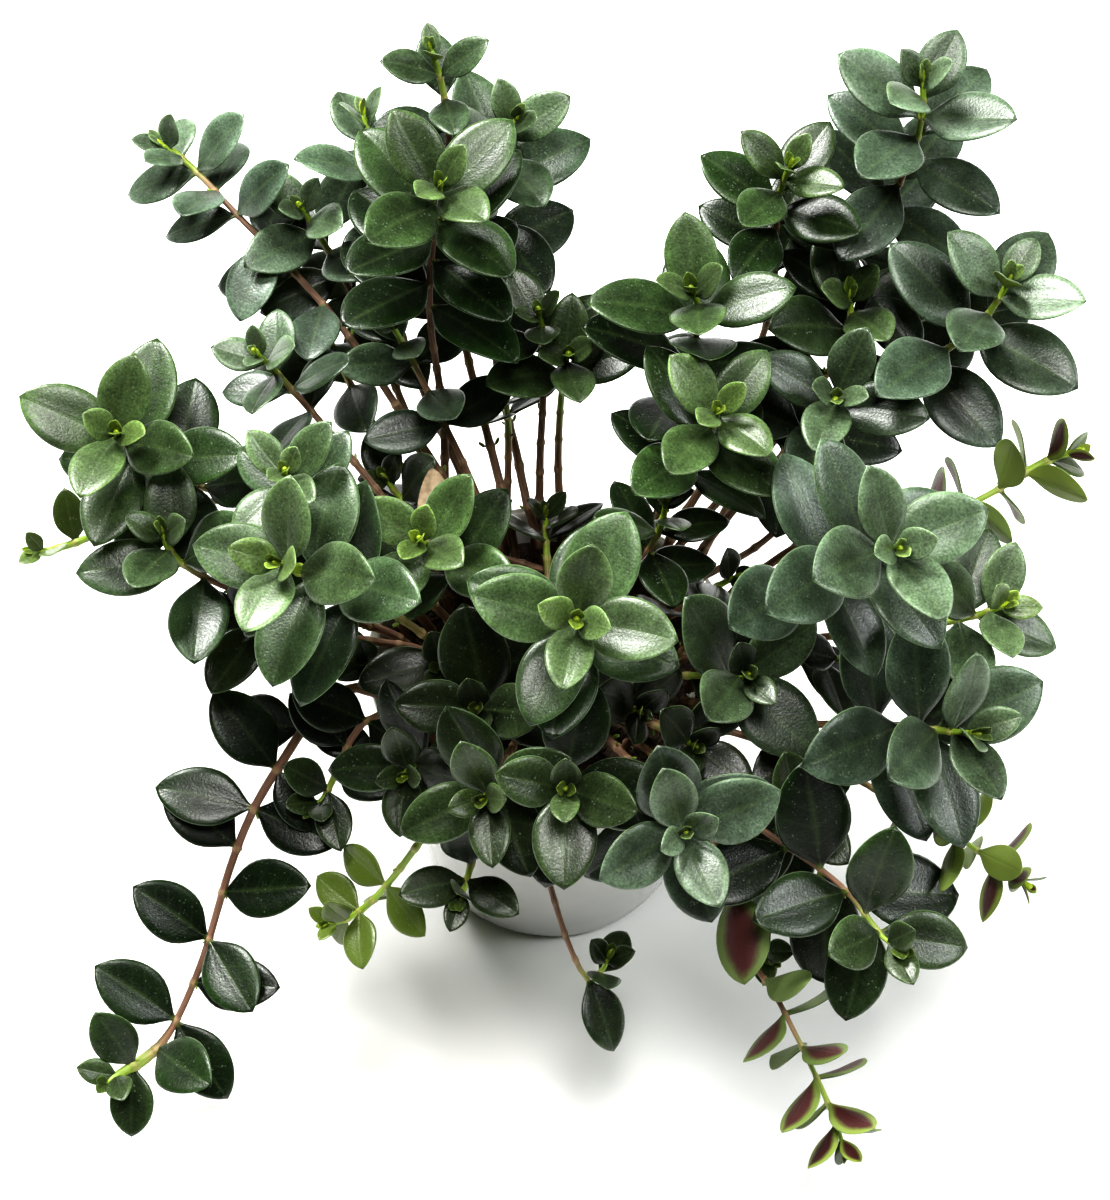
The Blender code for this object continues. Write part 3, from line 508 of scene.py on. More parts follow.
def leaf_tree(leaf, rows=(0.06, *LEAF_ROWS)):
    """The leaf's surface, a little fatter than the leaf."""
    return surface_of([leaf_ring(leaf, share, 0.4 * MM, 0.4 * MM) for share in rows])


def stem_tree(line, extra):
    """The stem's surface as a thin tube of six sides."""
    rings = []
    for k, point in enumerate(line):
        radius = stem_radius(k / (len(line) - 1)) + extra
        way = Vector(line[min(k + 1, len(line) - 1)] - line[max(k - 1, 0)]).normalized()
        turn = Vector((0, 0, 1)).rotation_difference(way)
        spokes = [Quaternion((0, 0, 1), n * math.pi / 3) @ Vector((radius, 0, 0)) for n in range(6)]
        rings.append([Vector(point) + turn @ spoke for spoke in spokes])
    return surface_of(rings)


def clear_of_pot(leaf):
    """Whether a leaf stays out of the pot's wall, the soil and the floor."""
    for i in range(8):
        for across in (-1, -0.5, 0, 0.5, 1):
            p = leaf_point(leaf, i / 7, across)
            out = p.xy.length
            wall = outer_radius(min(p.z, POT_HEIGHT))
            outer = wall + LEAF_CLEARANCE
            if p.z < LEAF_OFF_FLOOR or out < outer and p.z < SOIL_TOP + LEAF_OFF_SOIL:
                return False
            if wall - POT_WALL - LEAF_CLEARANCE < out < outer and p.z < POT_HEIGHT + LEAF_CLEARANCE:
                return False
    return True


def middle_gap(leaf, other):
    """The distance between the middles of two leaves, less half of both lengths."""
    apart = (leaf_point(leaf, 0.5, 0) - leaf_point(other, 0.5, 0)).length
    return apart - 0.5 * (leaf.length + other.length)


def tries(leaf, way):
    """The leaf as it grew, and then turned, bent and smaller, until it finds room."""
    for size in TRIED_SIZES:
        for pitch, yaw in TRIED_TURNS:
            side = leaf.normal.cross(leaf.along)
            turn = Quaternion(side, math.radians(-pitch)) @ Quaternion(way, math.radians(yaw))
            if leaf.rank >= FIRST_PAIR and (turn @ leaf.along).angle(way) < CLOSEST_TO_STEM:
                continue
            yield leaf._replace(along=turn @ leaf.along, normal=turn @ leaf.normal,
                                length=leaf.length * size)


def grow_leaves(shoots, routes):
    """Every leaf of the plant in a place of its own, the ones nearest the tips first."""
    wishes = [leaf for s, line in zip(shoots, routes) for leaf in leaf_wishes(s, line)]
    wishes.sort(key=lambda leaf: leaf.rank)
    stems = {s.name: stem_tree(line, 0.9 * MM) for s, line in zip(shoots, routes)}
    own_stem = {s.name: stem_tree(line, 0.3 * MM) for s, line in zip(shoots, routes)}
    lines = {s.name: line for s, line in zip(shoots, routes)}
    placed = []
    for wish in wishes:
        near = [(leaf, tree) for leaf, tree in placed
                if middle_gap(leaf, wish) < 0.25 * (leaf.length + wish.length)]
        line = lines[wish.shoot]
        at = np.argmin(np.linalg.norm(line - np.array(wish.origin), axis=1))
        way = Vector(line[min(at + 1, len(line) - 1)] - line[max(at - 1, 0)]).normalized()
        for leaf in tries(wish, way):
            if not clear_of_pot(leaf):
                continue
            blade = leaf_tree(leaf, (0.16, *LEAF_ROWS))
            if leaf.rank >= FIRST_PAIR and blade.overlap(own_stem[leaf.shoot]):
                continue
            tree = leaf_tree(leaf)
            if any(tree.overlap(stem) for name, stem in stems.items() if name != leaf.shoot):
                continue
            if any(tree.overlap(other_tree) for other, other_tree in near
                   if other.shoot != leaf.shoot or other.rank != leaf.rank > FIRST_PAIR):
                continue
            placed.append((leaf, tree))
            break
    return [leaf for leaf, tree in placed]


def plan_plant():
    """All stems with their centre lines and the leaves that found room."""
    shoots = [s._replace(name=s.name + "_stem") for s in SHOOTS] + list(BARE_TWIGS)
    roots = settle_roots(shoots)
    routes = bend_clear([grow_route(root, s) for root, s in zip(roots, shoots)])
    return shoots, routes, grow_leaves(shoots, routes)


# How finely the visible pieces are made
LEAF_FACES_ALONG = 8
LEAF_FACES_ACROSS = 4
STEM_SIDES = 10
RING_EVERY = 3.2 * MM
POT_FACES = 96
LIP_STEPS = 8
SOIL_RINGS = 26
CRUMBS = 520
PERLITE_BITS = 30
FIBRES = 70

# The form of a visible leaf
GROWN_LENGTH = 20 * MM  # a leaf of this length has its full thickness
LEAF_HALF_THICK = 0.75 * MM  # half of a grown leaf's thickness beside its midrib
STALK_HALF_THICK = 0.9 * MM
RIB_DEPTH = 0.45 * MM  # how far the midrib lies below the blade
EDGE_WAVE = 0.3 * MM
STALK_END = 0.26  # the share of its length at which a leaf has its full width
RIM_GROWTH = 1.1  # a leaf's cage is this much wider than the leaf, because smoothing draws it in
TIP_CREASE = 0.6

# Ages: how far below its tip a shoot is young, and how much further where it catches the light
YOUNG_RUN = 34 * MM
FRESH_LEAF_RUN = 30 * MM
FRESH_STEM_RUN = 120 * MM

# The stems' bark and buds
RING_SWELL = 0.26  # how much thicker a stem is at a pair of leaves
RING_REACH = 0.9 * MM
RING_ROWS = (-1.6, -0.5, 0.5, 1.6)  # mm from the pair
BARE_END = 16 * MM  # above the foot of a stem, without rings
TWIG_SCARS = (8 * MM, 21 * MM, 33 * MM)  # below a dry twig's tip
PLUMP_PLACE = 14 * MM
PLUMP_REACH = 11 * MM
BARK_LUMPS = 0.06
BUD_SIZE = (1.25 * MM, 1.25 * MM, 2.6 * MM)
AXIL_BUD_SHARE = 0.3
AXIL_BUD_AGE = 0.03

# Two leaves with a place of their own, below the tips of their stems
TURNED_LEAF_STEM = "front_right_trailing_stem"
TURNED_LEAF_PLACE = 88 * MM
TURNED_LEAF_LENGTH = 30 * MM
DRIED_LEAF_STEM = "left_bright_stem"
DRIED_LEAF_PLACE = 18 * MM
DRIED_LEAF_LENGTH = 29 * MM
DRIED_WIDTH = 0.62  # a dried leaf has shrunk to this share of its width

# Towards the sky, from straight above to well down on each side
SKY = [Vector((math.sin(tilt) * math.cos(turn), math.sin(tilt) * math.sin(turn), math.cos(tilt)))
       for tilt, count in ((0.15, 3), (0.6, 6), (1.05, 7))
       for turn in np.linspace(0, math.tau, count, False)]

# The colours of a leaf's upper side, from the youngest to the oldest, and what lies over them
LEAF_GREENS = (
    (0.0, (0.33, 0.44, 0.03)), (0.035, (0.15, 0.23, 0.035)), (0.08, (0.083, 0.127, 0.046)),
    (0.3, (0.047, 0.081, 0.028)), (0.65, (0.019, 0.043, 0.01)), (1.0, (0.008, 0.025, 0.003)),
)
# A grey over the leaves: partly their own waxy bloom, partly painted sheen
BLOOM_AND_SHEEN_GREY = (0.125, 0.165, 0.132)
# An olive yellow-green: on the pale front shoot it is painted light shining through the leaves
OLIVE_GREEN = (0.085, 0.118, 0.016)
MIDRIB_GREEN = (0.13, 0.2, 0.07)
SIDE_VEIN_GREEN = (0.13, 0.2, 0.08)
SPECK_GREEN = (0.22, 0.27, 0.2)
STALK_GREEN = (0.22, 0.29, 0.04)
# The thin pale rim: partly the leaf's paler edge, partly a painted highlight
PALE_RIM_AND_HIGHLIGHT_GREEN = (0.21, 0.3, 0.15)

# The colours of a leaf's back
YOUNG_BACK = (0.25, 0.32, 0.045)
OLD_BACK = (0.09, 0.13, 0.035)
MOTTLED_BACK = (0.1, 0.15, 0.07)
WINE_RED = (0.06, 0.014, 0.013)

# The colours of the stems, from tip to foot, and of the other pieces
BARKS = (
    (0.0, (0.24, 0.38, 0.03)), (0.45, (0.22, 0.3, 0.05)), (0.62, (0.25, 0.19, 0.09)),
    (0.8, (0.25, 0.135, 0.083)), (1.0, (0.18, 0.1, 0.066)),
)
RING_TAN = (0.38, 0.29, 0.15)
DULL_BROWNS = ((0.3, (0.075, 0.04, 0.024)), (0.7, (0.2, 0.13, 0.085)))
STREAKS = ((0.25, (0.6, 0.6, 0.6)), (0.75, (1.25, 1.2, 1.15)))
WITHERED = ((0.3, (0.34, 0.27, 0.175)), (0.6, (0.25, 0.185, 0.115)), (0.9, (0.12, 0.08, 0.05)))
# The white glaze is painted a light grey: painted shade over the whole pot
GLAZE_WHITE_AND_PAINTED_SHADE = ((0.3, (0.42, 0.42, 0.405)), (0.7, (0.45, 0.45, 0.435)))
GLAZE_SPECK = (0.22, 0.2, 0.16)
CLAYS = ((0.3, (0.3, 0.26, 0.2)), (0.7, (0.42, 0.37, 0.3)))
SOIL_BROWNS = (
    (0.32, (0.012, 0.008, 0.006)), (0.5, (0.04, 0.025, 0.016)), (0.62, (0.085, 0.055, 0.035)),
    (0.75, (0.15, 0.105, 0.07)),
)
FLOOR_GREYS = ((0.3, (0.8, 0.8, 0.8)), (0.7, (0.83, 0.83, 0.83)))

# The studio, in metres and watts. Each lamp has its place, its width, its power and its colour.
FLOOR_REACH = 8
LAMPS = {
    "window": ((-0.95, 1.05, 2.25), 0.9, 120, (1.0, 1.0, 0.98)),
    "ceiling": ((0.1, -0.5, 2.5), 0.9, 46, (1.0, 0.99, 0.96)),
    "side_window": ((1.6, -0.2, 1.55), 0.8, 26, (0.97, 0.99, 1.0)),
}
LAMP_TARGET = Vector((0, 0, 0.12))
WORLD_STRENGTH = 0.05

# The photograph's view, from the front and above
CAMERA_TILT = math.radians(55)
CAMERA_TARGET = Vector((0.001, 0.020, 0.110))
CAMERA_DISTANCE = 0.85
SENSOR_MM = 36
LENS_MM = 79.05


def mesh_of(name, bm):
    """A mesh from a bmesh, which is then freed."""
    mesh = bpy.data.meshes.new(name)
    bm.to_mesh(mesh)
    bm.free()
    return mesh


def put(name, data):
    """A new object in the scene."""
    obj = bpy.data.objects.new(name, data)
    bpy.context.scene.collection.objects.link(obj)
    return obj


def add_piece(name, bm, finish):
    """A finished piece of the object, from its mesh and its material."""
    bmesh.ops.recalc_face_normals(bm, faces=bm.faces)
    mesh = mesh_of(name, bm)
    mesh.shade_smooth()
    obj = put(name, mesh)
    mesh.materials.append(finish)
    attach(obj, "root")
    return obj


def soften(obj):
    """One level of Subdivision Surface, alike in the viewport and in a render."""
    soft = obj.modifiers.new("Soft", "SUBSURF")
    soft.levels = 1
    soft.render_levels = 1


def placed(at, way, size):
    """The matrix that puts a shape at a point, with its own z along a way and its sizes scaled."""
    turn = Vector((0, 0, 1)).rotation_difference(way).to_matrix().to_4x4()
    return Matrix.Translation(at) @ turn @ Matrix.Diagonal((*size, 1))


def short_name(s):
    """A stem's name as its visible pieces have it."""
    return s.name.removesuffix("_stem")


def length_of(line):
    return np.linalg.norm(np.diff(line, axis=0), axis=1).sum()


def frames_of(s, line):
    """The frames of a stem as its leaves were placed on it."""
    return frames_from_tip(line, s, random.Random(s.name))


def close_ends(bm):
    bmesh.ops.holes_fill(bm, edges=[e for e in bm.edges if e.is_boundary])


# The leaves


def leaf_cage():
    """A leaf's cage, closed: x runs along it, y across it from -1 to 1, and z is 1 above and -1 below."""
    bm = bmesh.new()
    bm.loops.layers.uv.new("UVMap")
    bm.verts.layers.float_color.new("leaf_data")
    bm.verts.layers.float_color.new("shoot_data")
    bm.verts.layers.float.new("olive")
    under = bm.faces.layers.float.new("under")
    for side in (1, -1):
        made = bmesh.ops.create_grid(bm, x_segments=LEAF_FACES_ALONG, y_segments=LEAF_FACES_ACROSS,
                                     size=1, calc_uvs=True)
        for v in made["verts"]:
            v.co = cage_point((v.co.x + 1) / 2, v.co.y, side)
        faces = list({f for v in made["verts"] for f in v.link_faces})
        for f in faces:
            f[under] = 0 if side > 0 else 1
        if side < 0:
            bmesh.ops.reverse_faces(bm, faces=faces)
    rim = [v for v in bm.verts if v.co.z == 0]
    bmesh.ops.remove_doubles(bm, verts=rim, dist=1e-5)
    tip = [v for v in bm.verts if v.co.x > 0.999]
    bmesh.ops.pointmerge(bm, verts=tip, merge_co=(1, 0, 0))
    crease = bm.verts.layers.float.new("crease_vert")
    for v in bm.verts:
        v[crease] = TIP_CREASE if v.co.x > 0.999 else 0
    close_ends(bm)
    return mesh_of("leaf_cage", bm)


def cage_point(share, across, side):
    """A point of the cage: its rows lie closer at both ends, and its inner lines closer to the rim."""
    share = 0.55 * share + 0.45 * (1 - math.cos(math.pi * share)) / 2
    across = across if abs(across) > 0.9 else across * 1.4
    rim = abs(across) > 0.99 or share > 0.99
    return Vector((share, across, 0 if rim else side))


def lay_leaf(leaf, verts, chance):
    """Give the cage's points their places on one leaf of the plant."""
    wave = chance.uniform(0, math.tau)
    curl = chance.uniform(-0.4, 1.0)
    skew = chance.uniform(-0.07, 0.07)
    broad = chance.uniform(0.96, 1.1)
    grown = min(1.0, leaf.length / GROWN_LENGTH)
    for v in verts:
        share, across, side = v.co
        inner = max(0.0, 1 - across * across)
        width = half_width(share) * leaf.length
        thick = LEAF_HALF_THICK * inner**0.5 * (1 - 0.4 * share)
        lift = side * grown * (thick if share > 0.03 else STALK_HALF_THICK)
        if share > 0.08 and abs(across) < 0.01:
            lift -= RIB_DEPTH * grown * math.sin(math.pi * share) ** 0.5
        lift += width * (0.26 * abs(across) - 0.3 * across**4)
        lift += EDGE_WAVE * grown * math.sin(share * 7 + wave) * across
        lift -= curl * 0.3 * leaf.length * max(0, share - 0.7) ** 2
        pointed = 1 - 0.1 * max(0.0, (share - 0.6) / 0.4) ** 2
        stalk = 0.35 + 0.65 * min(1.0, share / STALK_END)
        bent = across * RIM_GROWTH * pointed * stalk + skew * math.sin(math.pi * share) * inner
        v.co = leaf_point(leaf, share * 1.05 - 0.03, bent * broad, lift)


def surface_of_all(leaves):
    """One surface of every leaf's middle sheet, for finding what shades what."""
    points, faces = [], []
    for leaf in leaves:
        first = len(points)
        rows = (0.05, 0.3, 0.6, 0.9)
        points += [leaf_point(leaf, share, across) for share in rows for across in (-1, 0, 1)]
        faces += [(first + a, first + a + 1, first + a + 4, first + a + 3) for a in (0, 1, 3, 4, 6, 7)]
    return BVHTree.FromPolygons(points, faces)


def open_sky(leaf, crown):
    """How much of the sky one leaf sees past the others, from 0 to 1, which sets its painted shade."""
    start = leaf_point(leaf, 0.55, 0, 2.5 * MM)
    return sum(crown.ray_cast(start, way)[0] is None for way in SKY) / len(SKY)


def keep(bm, verts, leaf_data, shoot_data):
    """Keep at points: their leaf's age, tint and wine red, and their shoot's painted light level, its grey
    and the open sky that sets its painted shade.
    """
    leaf_layer = bm.verts.layers.float_color["leaf_data"]
    shoot_layer = bm.verts.layers.float_color["shoot_data"]
    for v in verts:
        v[leaf_layer] = (*leaf_data, 1)
        v[shoot_layer] = (*shoot_data, 1)


def colour_bud(bm, verts, age, painted_light_level):
    """Give a bud's points the looks of a very young leaf in the open."""
    keep(bm, verts, (age, 0.5, 0), (painted_light_level, 0, 1))
    uv = bm.loops.layers.uv["UVMap"]
    for loop in [loop for v in verts for loop in v.link_loops]:
        loop[uv].uv = (0.5, 0.3)


def add_bud(bm, line, painted_light_level):
    """The closed bud at the growing tip, between the smallest leaves."""
    tip = Vector(line[-1])
    way = (tip - Vector(line[-2])).normalized()
    made = bmesh.ops.create_uvsphere(bm, u_segments=8, v_segments=6, radius=1,
                                     matrix=placed(tip, way, BUD_SIZE))
    colour_bud(bm, made["verts"], 0, painted_light_level)


def add_axil_buds(bm, s, line, painted_light_level, chance):
    """Small sleeping buds in the axils of the leaves."""
    frames = frames_of(s, line)
    run = length_of(line)
    for k in range(4, 30):
        place = pair_place(k) * s.gap * MM
        if place > run - 22 * MM:
            break
        point, way, across = frame_below(frames, place)
        out = across if k % 2 else way.cross(across)
        for side in (-1, 1):
            if chance.random() > AXIL_BUD_SHARE:
                continue
            size = chance.uniform(0.8, 1.5) * MM
            tip = (way * 1.2 + out * side).normalized()
            middle = point + out * side * stem_radius(1 - place / run) + tip * size
            shape = placed(middle, tip, (0.55 * size, 0.55 * size, 1.3 * size))
            made = bmesh.ops.create_icosphere(bm, subdivisions=1, radius=1, matrix=shape)
            colour_bud(bm, made["verts"], AXIL_BUD_AGE, painted_light_level)


def make_leaves(s, line, leaves, crown, cage, finish):
    """All leaves of one stem, each with its age, its tint and its shade as attributes."""
    name, look = short_name(s), s.look
    chance = random.Random(name + "_leaves")
    # A shoot's painted light level: its leaves are painted lighter where it catches the light and darker
    # where it lies in the shade
    painted_light_level = 0.5 + 0.5 * min(1.0, look.fresh) - 0.5 * look.shaded
    bm = bmesh.new()
    for leaf in leaves:
        first = len(bm.verts)
        bm.from_mesh(cage)
        bm.verts.ensure_lookup_table()
        verts = bm.verts[first:]
        lay_leaf(leaf, verts, chance)
        age = min(1.0, leaf.place / (YOUNG_RUN + FRESH_LEAF_RUN * look.fresh)) * chance.uniform(0.85, 1.1)
        tint = chance.random()
        # The open sky sets painted shade: the leaf's colour is painted darker the more the other leaves
        # hide its sky
        keep(bm, verts, (min(1.0, age), tint, look.red), (painted_light_level, look.grey, open_sky(leaf, crown)))
        olive = bm.verts.layers.float["olive"]
        for v in verts:
            v[olive] = look.olive
    add_bud(bm, line, painted_light_level)
    add_axil_buds(bm, s, line, painted_light_level, chance)
    obj = add_piece(name + "_leaves", bm, finish)
    soften(obj)
    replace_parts(obj, s.name)


def turned_leaf(s, line):
    """One leaf that hangs down from a trailing stem, with its wine-red back to the front."""
    origin = frame_below(frames_of(s, line), TURNED_LEAF_PLACE)[0] + LIGHT * 2.5 * MM
    along = Vector((0.16, -0.92, -0.27)).normalized()
    face = Vector((0.55, 0.3, -0.75))
    face = (face - along * face.dot(along)).normalized()
    return Leaf(s.name, 4, TURNED_LEAF_PLACE, origin, along, face, TURNED_LEAF_LENGTH, 0.12, 0.2)


def make_dried_leaf(s, line, cage, finish):
    """A withered leaf, folded shut and twisted, that still hangs on its stem behind the green ones."""
    origin = frame_below(frames_of(s, line), DRIED_LEAF_PLACE)[0]
    along = Vector((-0.09, 0.95, 0.27)).normalized()
    leaf = Leaf(s.name, 4, 0, origin, along, Vector((0.1, -0.25, 0.96)), DRIED_LEAF_LENGTH, 0.1, 0.5)
    bm = bmesh.new()
    bm.from_mesh(cage)
    shares = {v: v.co.x for v in bm.verts}
    lay_leaf(leaf, bm.verts, random.Random("dried"))
    for v, share in shares.items():
        away = v.co - origin
        down = along * away.dot(along)
        turn = Quaternion(along, 0.9 * share - 0.5)
        v.co = origin + down + turn @ ((away - down) * DRIED_WIDTH) + along.cross(LIGHT) * 2 * MM * share**2
    soften(add_piece("dried_leaf", bm, finish))


# The stems


def scars_of(s, run):
    """Where a stem has its leaf pairs, and where older leaves have dropped, below its tip."""
    places = [pair_place(k) * s.gap * MM for k in range(2, 40)] if s.pairs else TWIG_SCARS
    return [place for place in places if place < run - BARE_END]


def bark_stations(scars, run):
    """Where the rings of points of a stem lie below its tip: evenly spaced, and closer at each scar."""
    stations = set(np.linspace(0, run - 1e-6, max(4, round(run / RING_EVERY))).tolist())
    stations |= {place + off * MM for place in scars for off in RING_ROWS}
    return sorted(d for d in stations if 0 <= d < run)


def grow_end(bm, end, angles):
    """Push the stem's end face on by one ring, and note the angle of each of its points."""
    before = {v: angles[v] for v in end.verts}
    end = bmesh.ops.extrude_discrete_faces(bm, faces=[end])["faces"][0]
    for v in end.verts:
        twin = next(u for e in v.link_edges for u in e.verts if u in before)
        angles[v] = before[twin]
    return end


def make_bark(s, line, finish):
    """One round stem with a ring at each pair of leaves, also where older leaves have dropped."""
    frames = frames_of(s, line)
    run = length_of(line)
    scars = scars_of(s, run)
    green_run = YOUNG_RUN + FRESH_STEM_RUN * s.look.fresh
    bm = bmesh.new()
    disc = bmesh.ops.create_circle(bm, segments=STEM_SIDES, radius=1, cap_ends=True)["verts"]
    end = disc[0].link_faces[0]
    place_layer = bm.verts.layers.float_vector.new("bark_place")
    data = bm.verts.layers.float_color.new("bark_data")
    angles = {v: math.atan2(v.co.y, v.co.x) for v in end.verts}
    for step, distance in enumerate(bark_stations(scars, run)):
        if step:
            end = grow_end(bm, end, angles)
        point, way, across = frame_below(frames, distance)
        aside = way.cross(across)
        near = min((abs(distance - place) for place in scars), default=1)
        ring = math.exp(-((near / RING_REACH) ** 2))
        ripe = min(1.0, distance / green_run)
        radius = s.look.slim * stem_radius(1 - distance / run) * (1 + RING_SWELL * ring)
        radius *= 1 + s.look.plump * math.exp(-(((distance - PLUMP_PLACE) / PLUMP_REACH) ** 2))
        radius *= 1 if step else 0.55
        for v in end.verts:
            x, y = math.cos(angles[v]), math.sin(angles[v])
            rough = 1 + BARK_LUMPS * noise.noise(Vector((x, y, distance * 300)))
            v.co = point + (across * x + aside * y) * radius * rough
            v[place_layer] = (x, y, distance * 60)
            v[data] = (ripe, ring, s.look.dull * ripe**3 if s.pairs else 1, 1)
    close_ends(bm)
    obj = add_piece(short_name(s) + "_bark", bm, finish)
    if not s.pairs:
        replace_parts(obj, s.name)


# The pot and the soil


def spun(profile):
    """A profile of (radius, height) points turned all the way round, closed at its poles."""
    bm = bmesh.new()
    verts = [bm.verts.new((r, 0, z)) for r, z in profile]
    edges = [bm.edges.new(pair) for pair in zip(verts, verts[1:])]
    bmesh.ops.spin(bm, geom=verts + edges, cent=(0, 0, 0), axis=(0, 0, 1), angle=math.tau, steps=POT_FACES,
                   use_merge=True)
    bmesh.ops.remove_doubles(bm, verts=bm.verts, dist=0.00001)
    return bm


def pot_profile():
    """The pot's outline: its inside from the middle up, the round lip, and its outside down to the foot."""
    lip = POT_WALL / 2
    floor = inner_radius(POT_FLOOR)
    profile = [(0, POT_FLOOR), (floor - 3 * MM, POT_FLOOR), (floor - 0.6 * MM, POT_FLOOR + 1 * MM),
               (floor + 0.6 * MM, POT_FLOOR + 4 * MM)]
    profile += [(inner_radius(z * MM), z * MM) for z in (30, 60, 85, 100, 107)]
    for k in range(LIP_STEPS + 1):
        a = math.pi * (1 - k / LIP_STEPS)
        profile.append((POT_TOP_RADIUS - lip + lip * math.cos(a), POT_HEIGHT - lip + lip * math.sin(a)))
    profile += [(outer_radius(z * MM), z * MM) for z in (105, 95, 80, 60, 40, 20, 8, 4)]
    foot = ((0.2, 1.8), (1.0, 0.6), (2.5, 0), (5, 0))
    return profile + [(POT_BASE_RADIUS - inset * MM, z * MM) for inset, z in foot] + [(0, 0)]


def make_glazed_pot(finish):
    """The pot, with a rounded lip, an eased foot and its drain holes."""
    pot = add_piece("white_pot", spun(pot_profile()), finish)
    cutters = []
    for k in range(DRAINS):
        angle = math.pi / 4 + k * math.tau / DRAINS
        bpy.ops.mesh.primitive_cylinder_add(
            vertices=24, radius=DRAIN_RADIUS, depth=4 * POT_FLOOR,
            location=(DRAIN_RING * math.cos(angle), DRAIN_RING * math.sin(angle), 0))
        cutters.append(bpy.context.object)
        hole = pot.modifiers.new("Drain", "BOOLEAN")
        hole.operation = "DIFFERENCE"
        hole.solver = "MANIFOLD"
        hole.object = cutters[-1]
    graph = bpy.context.evaluated_depsgraph_get()
    pot.data = bpy.data.meshes.new_from_object(pot.evaluated_get(graph))
    pot.modifiers.clear()
    for cutter in cutters:
        bpy.data.objects.remove(cutter)
    pot.data.set_sharp_from_angle(angle=math.radians(40))
    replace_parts(pot, "pot")


def soil_height(x, y):
    """The height of the uneven top of the soil."""
    out = math.hypot(x, y) / (POT_TOP_RADIUS - POT_WALL)
    lumps = noise.fractal(Vector((x * 120, y * 120, 0.3)), 1.0, 2.0, 4)
    return SOIL_TOP + SOIL_DOME * (1 - out * out) - 1.4 * MM + 1.5 * MM * lumps * (1.15 - out)


def make_soil_top(finish):
    """The soil, with a crumbly top."""
    top = inner_radius(SOIL_TOP) - GAP
    floor = inner_radius(POT_FLOOR) - GAP
    profile = [(top * k / SOIL_RINGS, SOIL_TOP) for k in range(SOIL_RINGS + 1)]
    profile += [(inner_radius(60 * MM) - GAP, 60 * MM), (floor + 0.6 * MM, POT_FLOOR + 4 * MM + GAP),
                (floor - 3 * MM, POT_FLOOR + GAP), (0, POT_FLOOR + GAP)]
    bm = spun(profile)
    for v in bm.verts:
        if abs(v.co.z - SOIL_TOP) < 1e-6:
            v.co.z = soil_height(v.co.x, v.co.y)
    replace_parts(add_piece("loose_soil", bm, finish), "soil")


def on_soil(chance, reach=0.97):
    """A seeded place on the soil's top."""
    far = (inner_radius(SOIL_TOP) - 2 * MM) * reach * math.sqrt(chance.random())
    a = chance.uniform(0, math.tau)
    x, y = far * math.cos(a), far * math.sin(a)
    return Vector((x, y, soil_height(x, y)))


def scatter(name, count, sizes, flat, finish, seed):
    """Small lumps lying on the soil, in one piece."""
    chance = random.Random(seed)
    bm = bmesh.new()
    for _ in range(count):
        size = chance.uniform(*sizes) * MM
        shape = Matrix.Diagonal((size * chance.uniform(0.7, 1.3), size, size * flat, 1))
        turn = Matrix.Rotation(chance.uniform(0, math.tau), 4, "Z")
        tilt = Matrix.Rotation(chance.uniform(-0.6, 0.6), 4, "X")
        whole = Matrix.Translation(on_soil(chance)) @ turn @ tilt @ shape
        made = bmesh.ops.create_icosphere(bm, subdivisions=1, radius=1, matrix=whole)
        for v in made["verts"]:
            v.co += noise.noise_vector(v.co * 900) * size * 0.35
    add_piece(name, bm, finish).data.shade_flat()


def make_fibres(finish):
    """Coarse fibres and slivers of bark lying on the soil."""
    chance = random.Random("fibres")
    bm = bmesh.new()
    for _ in range(FIBRES):
        long = chance.uniform(4, 15) * MM
        shape = Matrix.Diagonal((chance.uniform(0.25, 0.6) * MM, 0.3 * MM, long / 2, 1))
        turn = Matrix.Rotation(chance.uniform(0, math.tau), 4, "Z")
        tilt = Matrix.Rotation(math.pi / 2 + chance.uniform(-0.25, 0.1), 4, "X")
        place = on_soil(chance, 0.85) + Vector((0, 0, 0.9 * MM))
        made = bmesh.ops.create_cone(bm, cap_ends=True, segments=6, radius1=1, radius2=0.5, depth=2,
                                     matrix=Matrix.Translation(place) @ turn @ tilt @ shape)
        for v in made["verts"]:
            v.co += noise.noise_vector(v.co * 90) * 0.8 * MM
    add_piece("soil_fibres", bm, finish)


# The finishes


def node(tree, kind, inputs=(), **settings):
    """A shader node with its settings and its inputs."""
    made = tree.nodes.new("ShaderNode" + kind)
    for key, value in settings.items():
        setattr(made, key, value)
    fill(made, inputs)
    return made


def fill(made, inputs):
    """Give a node its inputs: numbers, colours of three numbers, and other nodes' outputs."""
    for key, value in dict(inputs).items():
        value = getattr(value, "socket", value)
        if isinstance(value, bpy.types.NodeSocket):
            made.id_data.links.new(value, made.inputs[key])
        else:
            made.inputs[key].default_value = (*value, 1) if isinstance(value, tuple) else value


class Amount:
    """A number that a shader works out at each point. Sums with it make the nodes that they need."""

    def __init__(self, socket):
        self.socket = socket

    def maths(self, operation, *others):
        made = node(self.socket.id_data, "Math", enumerate((self, *others)), operation=operation)
        return Amount(made.outputs[0])

    __add__ = partialmethod(maths, "ADD")
    __sub__ = partialmethod(maths, "SUBTRACT")
    __mul__ = partialmethod(maths, "MULTIPLY")
    __pow__ = partialmethod(maths, "POWER")
    __abs__ = partialmethod(maths, "ABSOLUTE")
    __lt__ = partialmethod(maths, "LESS_THAN")
    __gt__ = partialmethod(maths, "GREATER_THAN")

    def __rsub__(self, other):
        return self.maths("MULTIPLY_ADD", -1.0, other)

    def clamped(self):
        """This number, held between 0 and 1."""
        self.socket.node.use_clamp = True
        return self


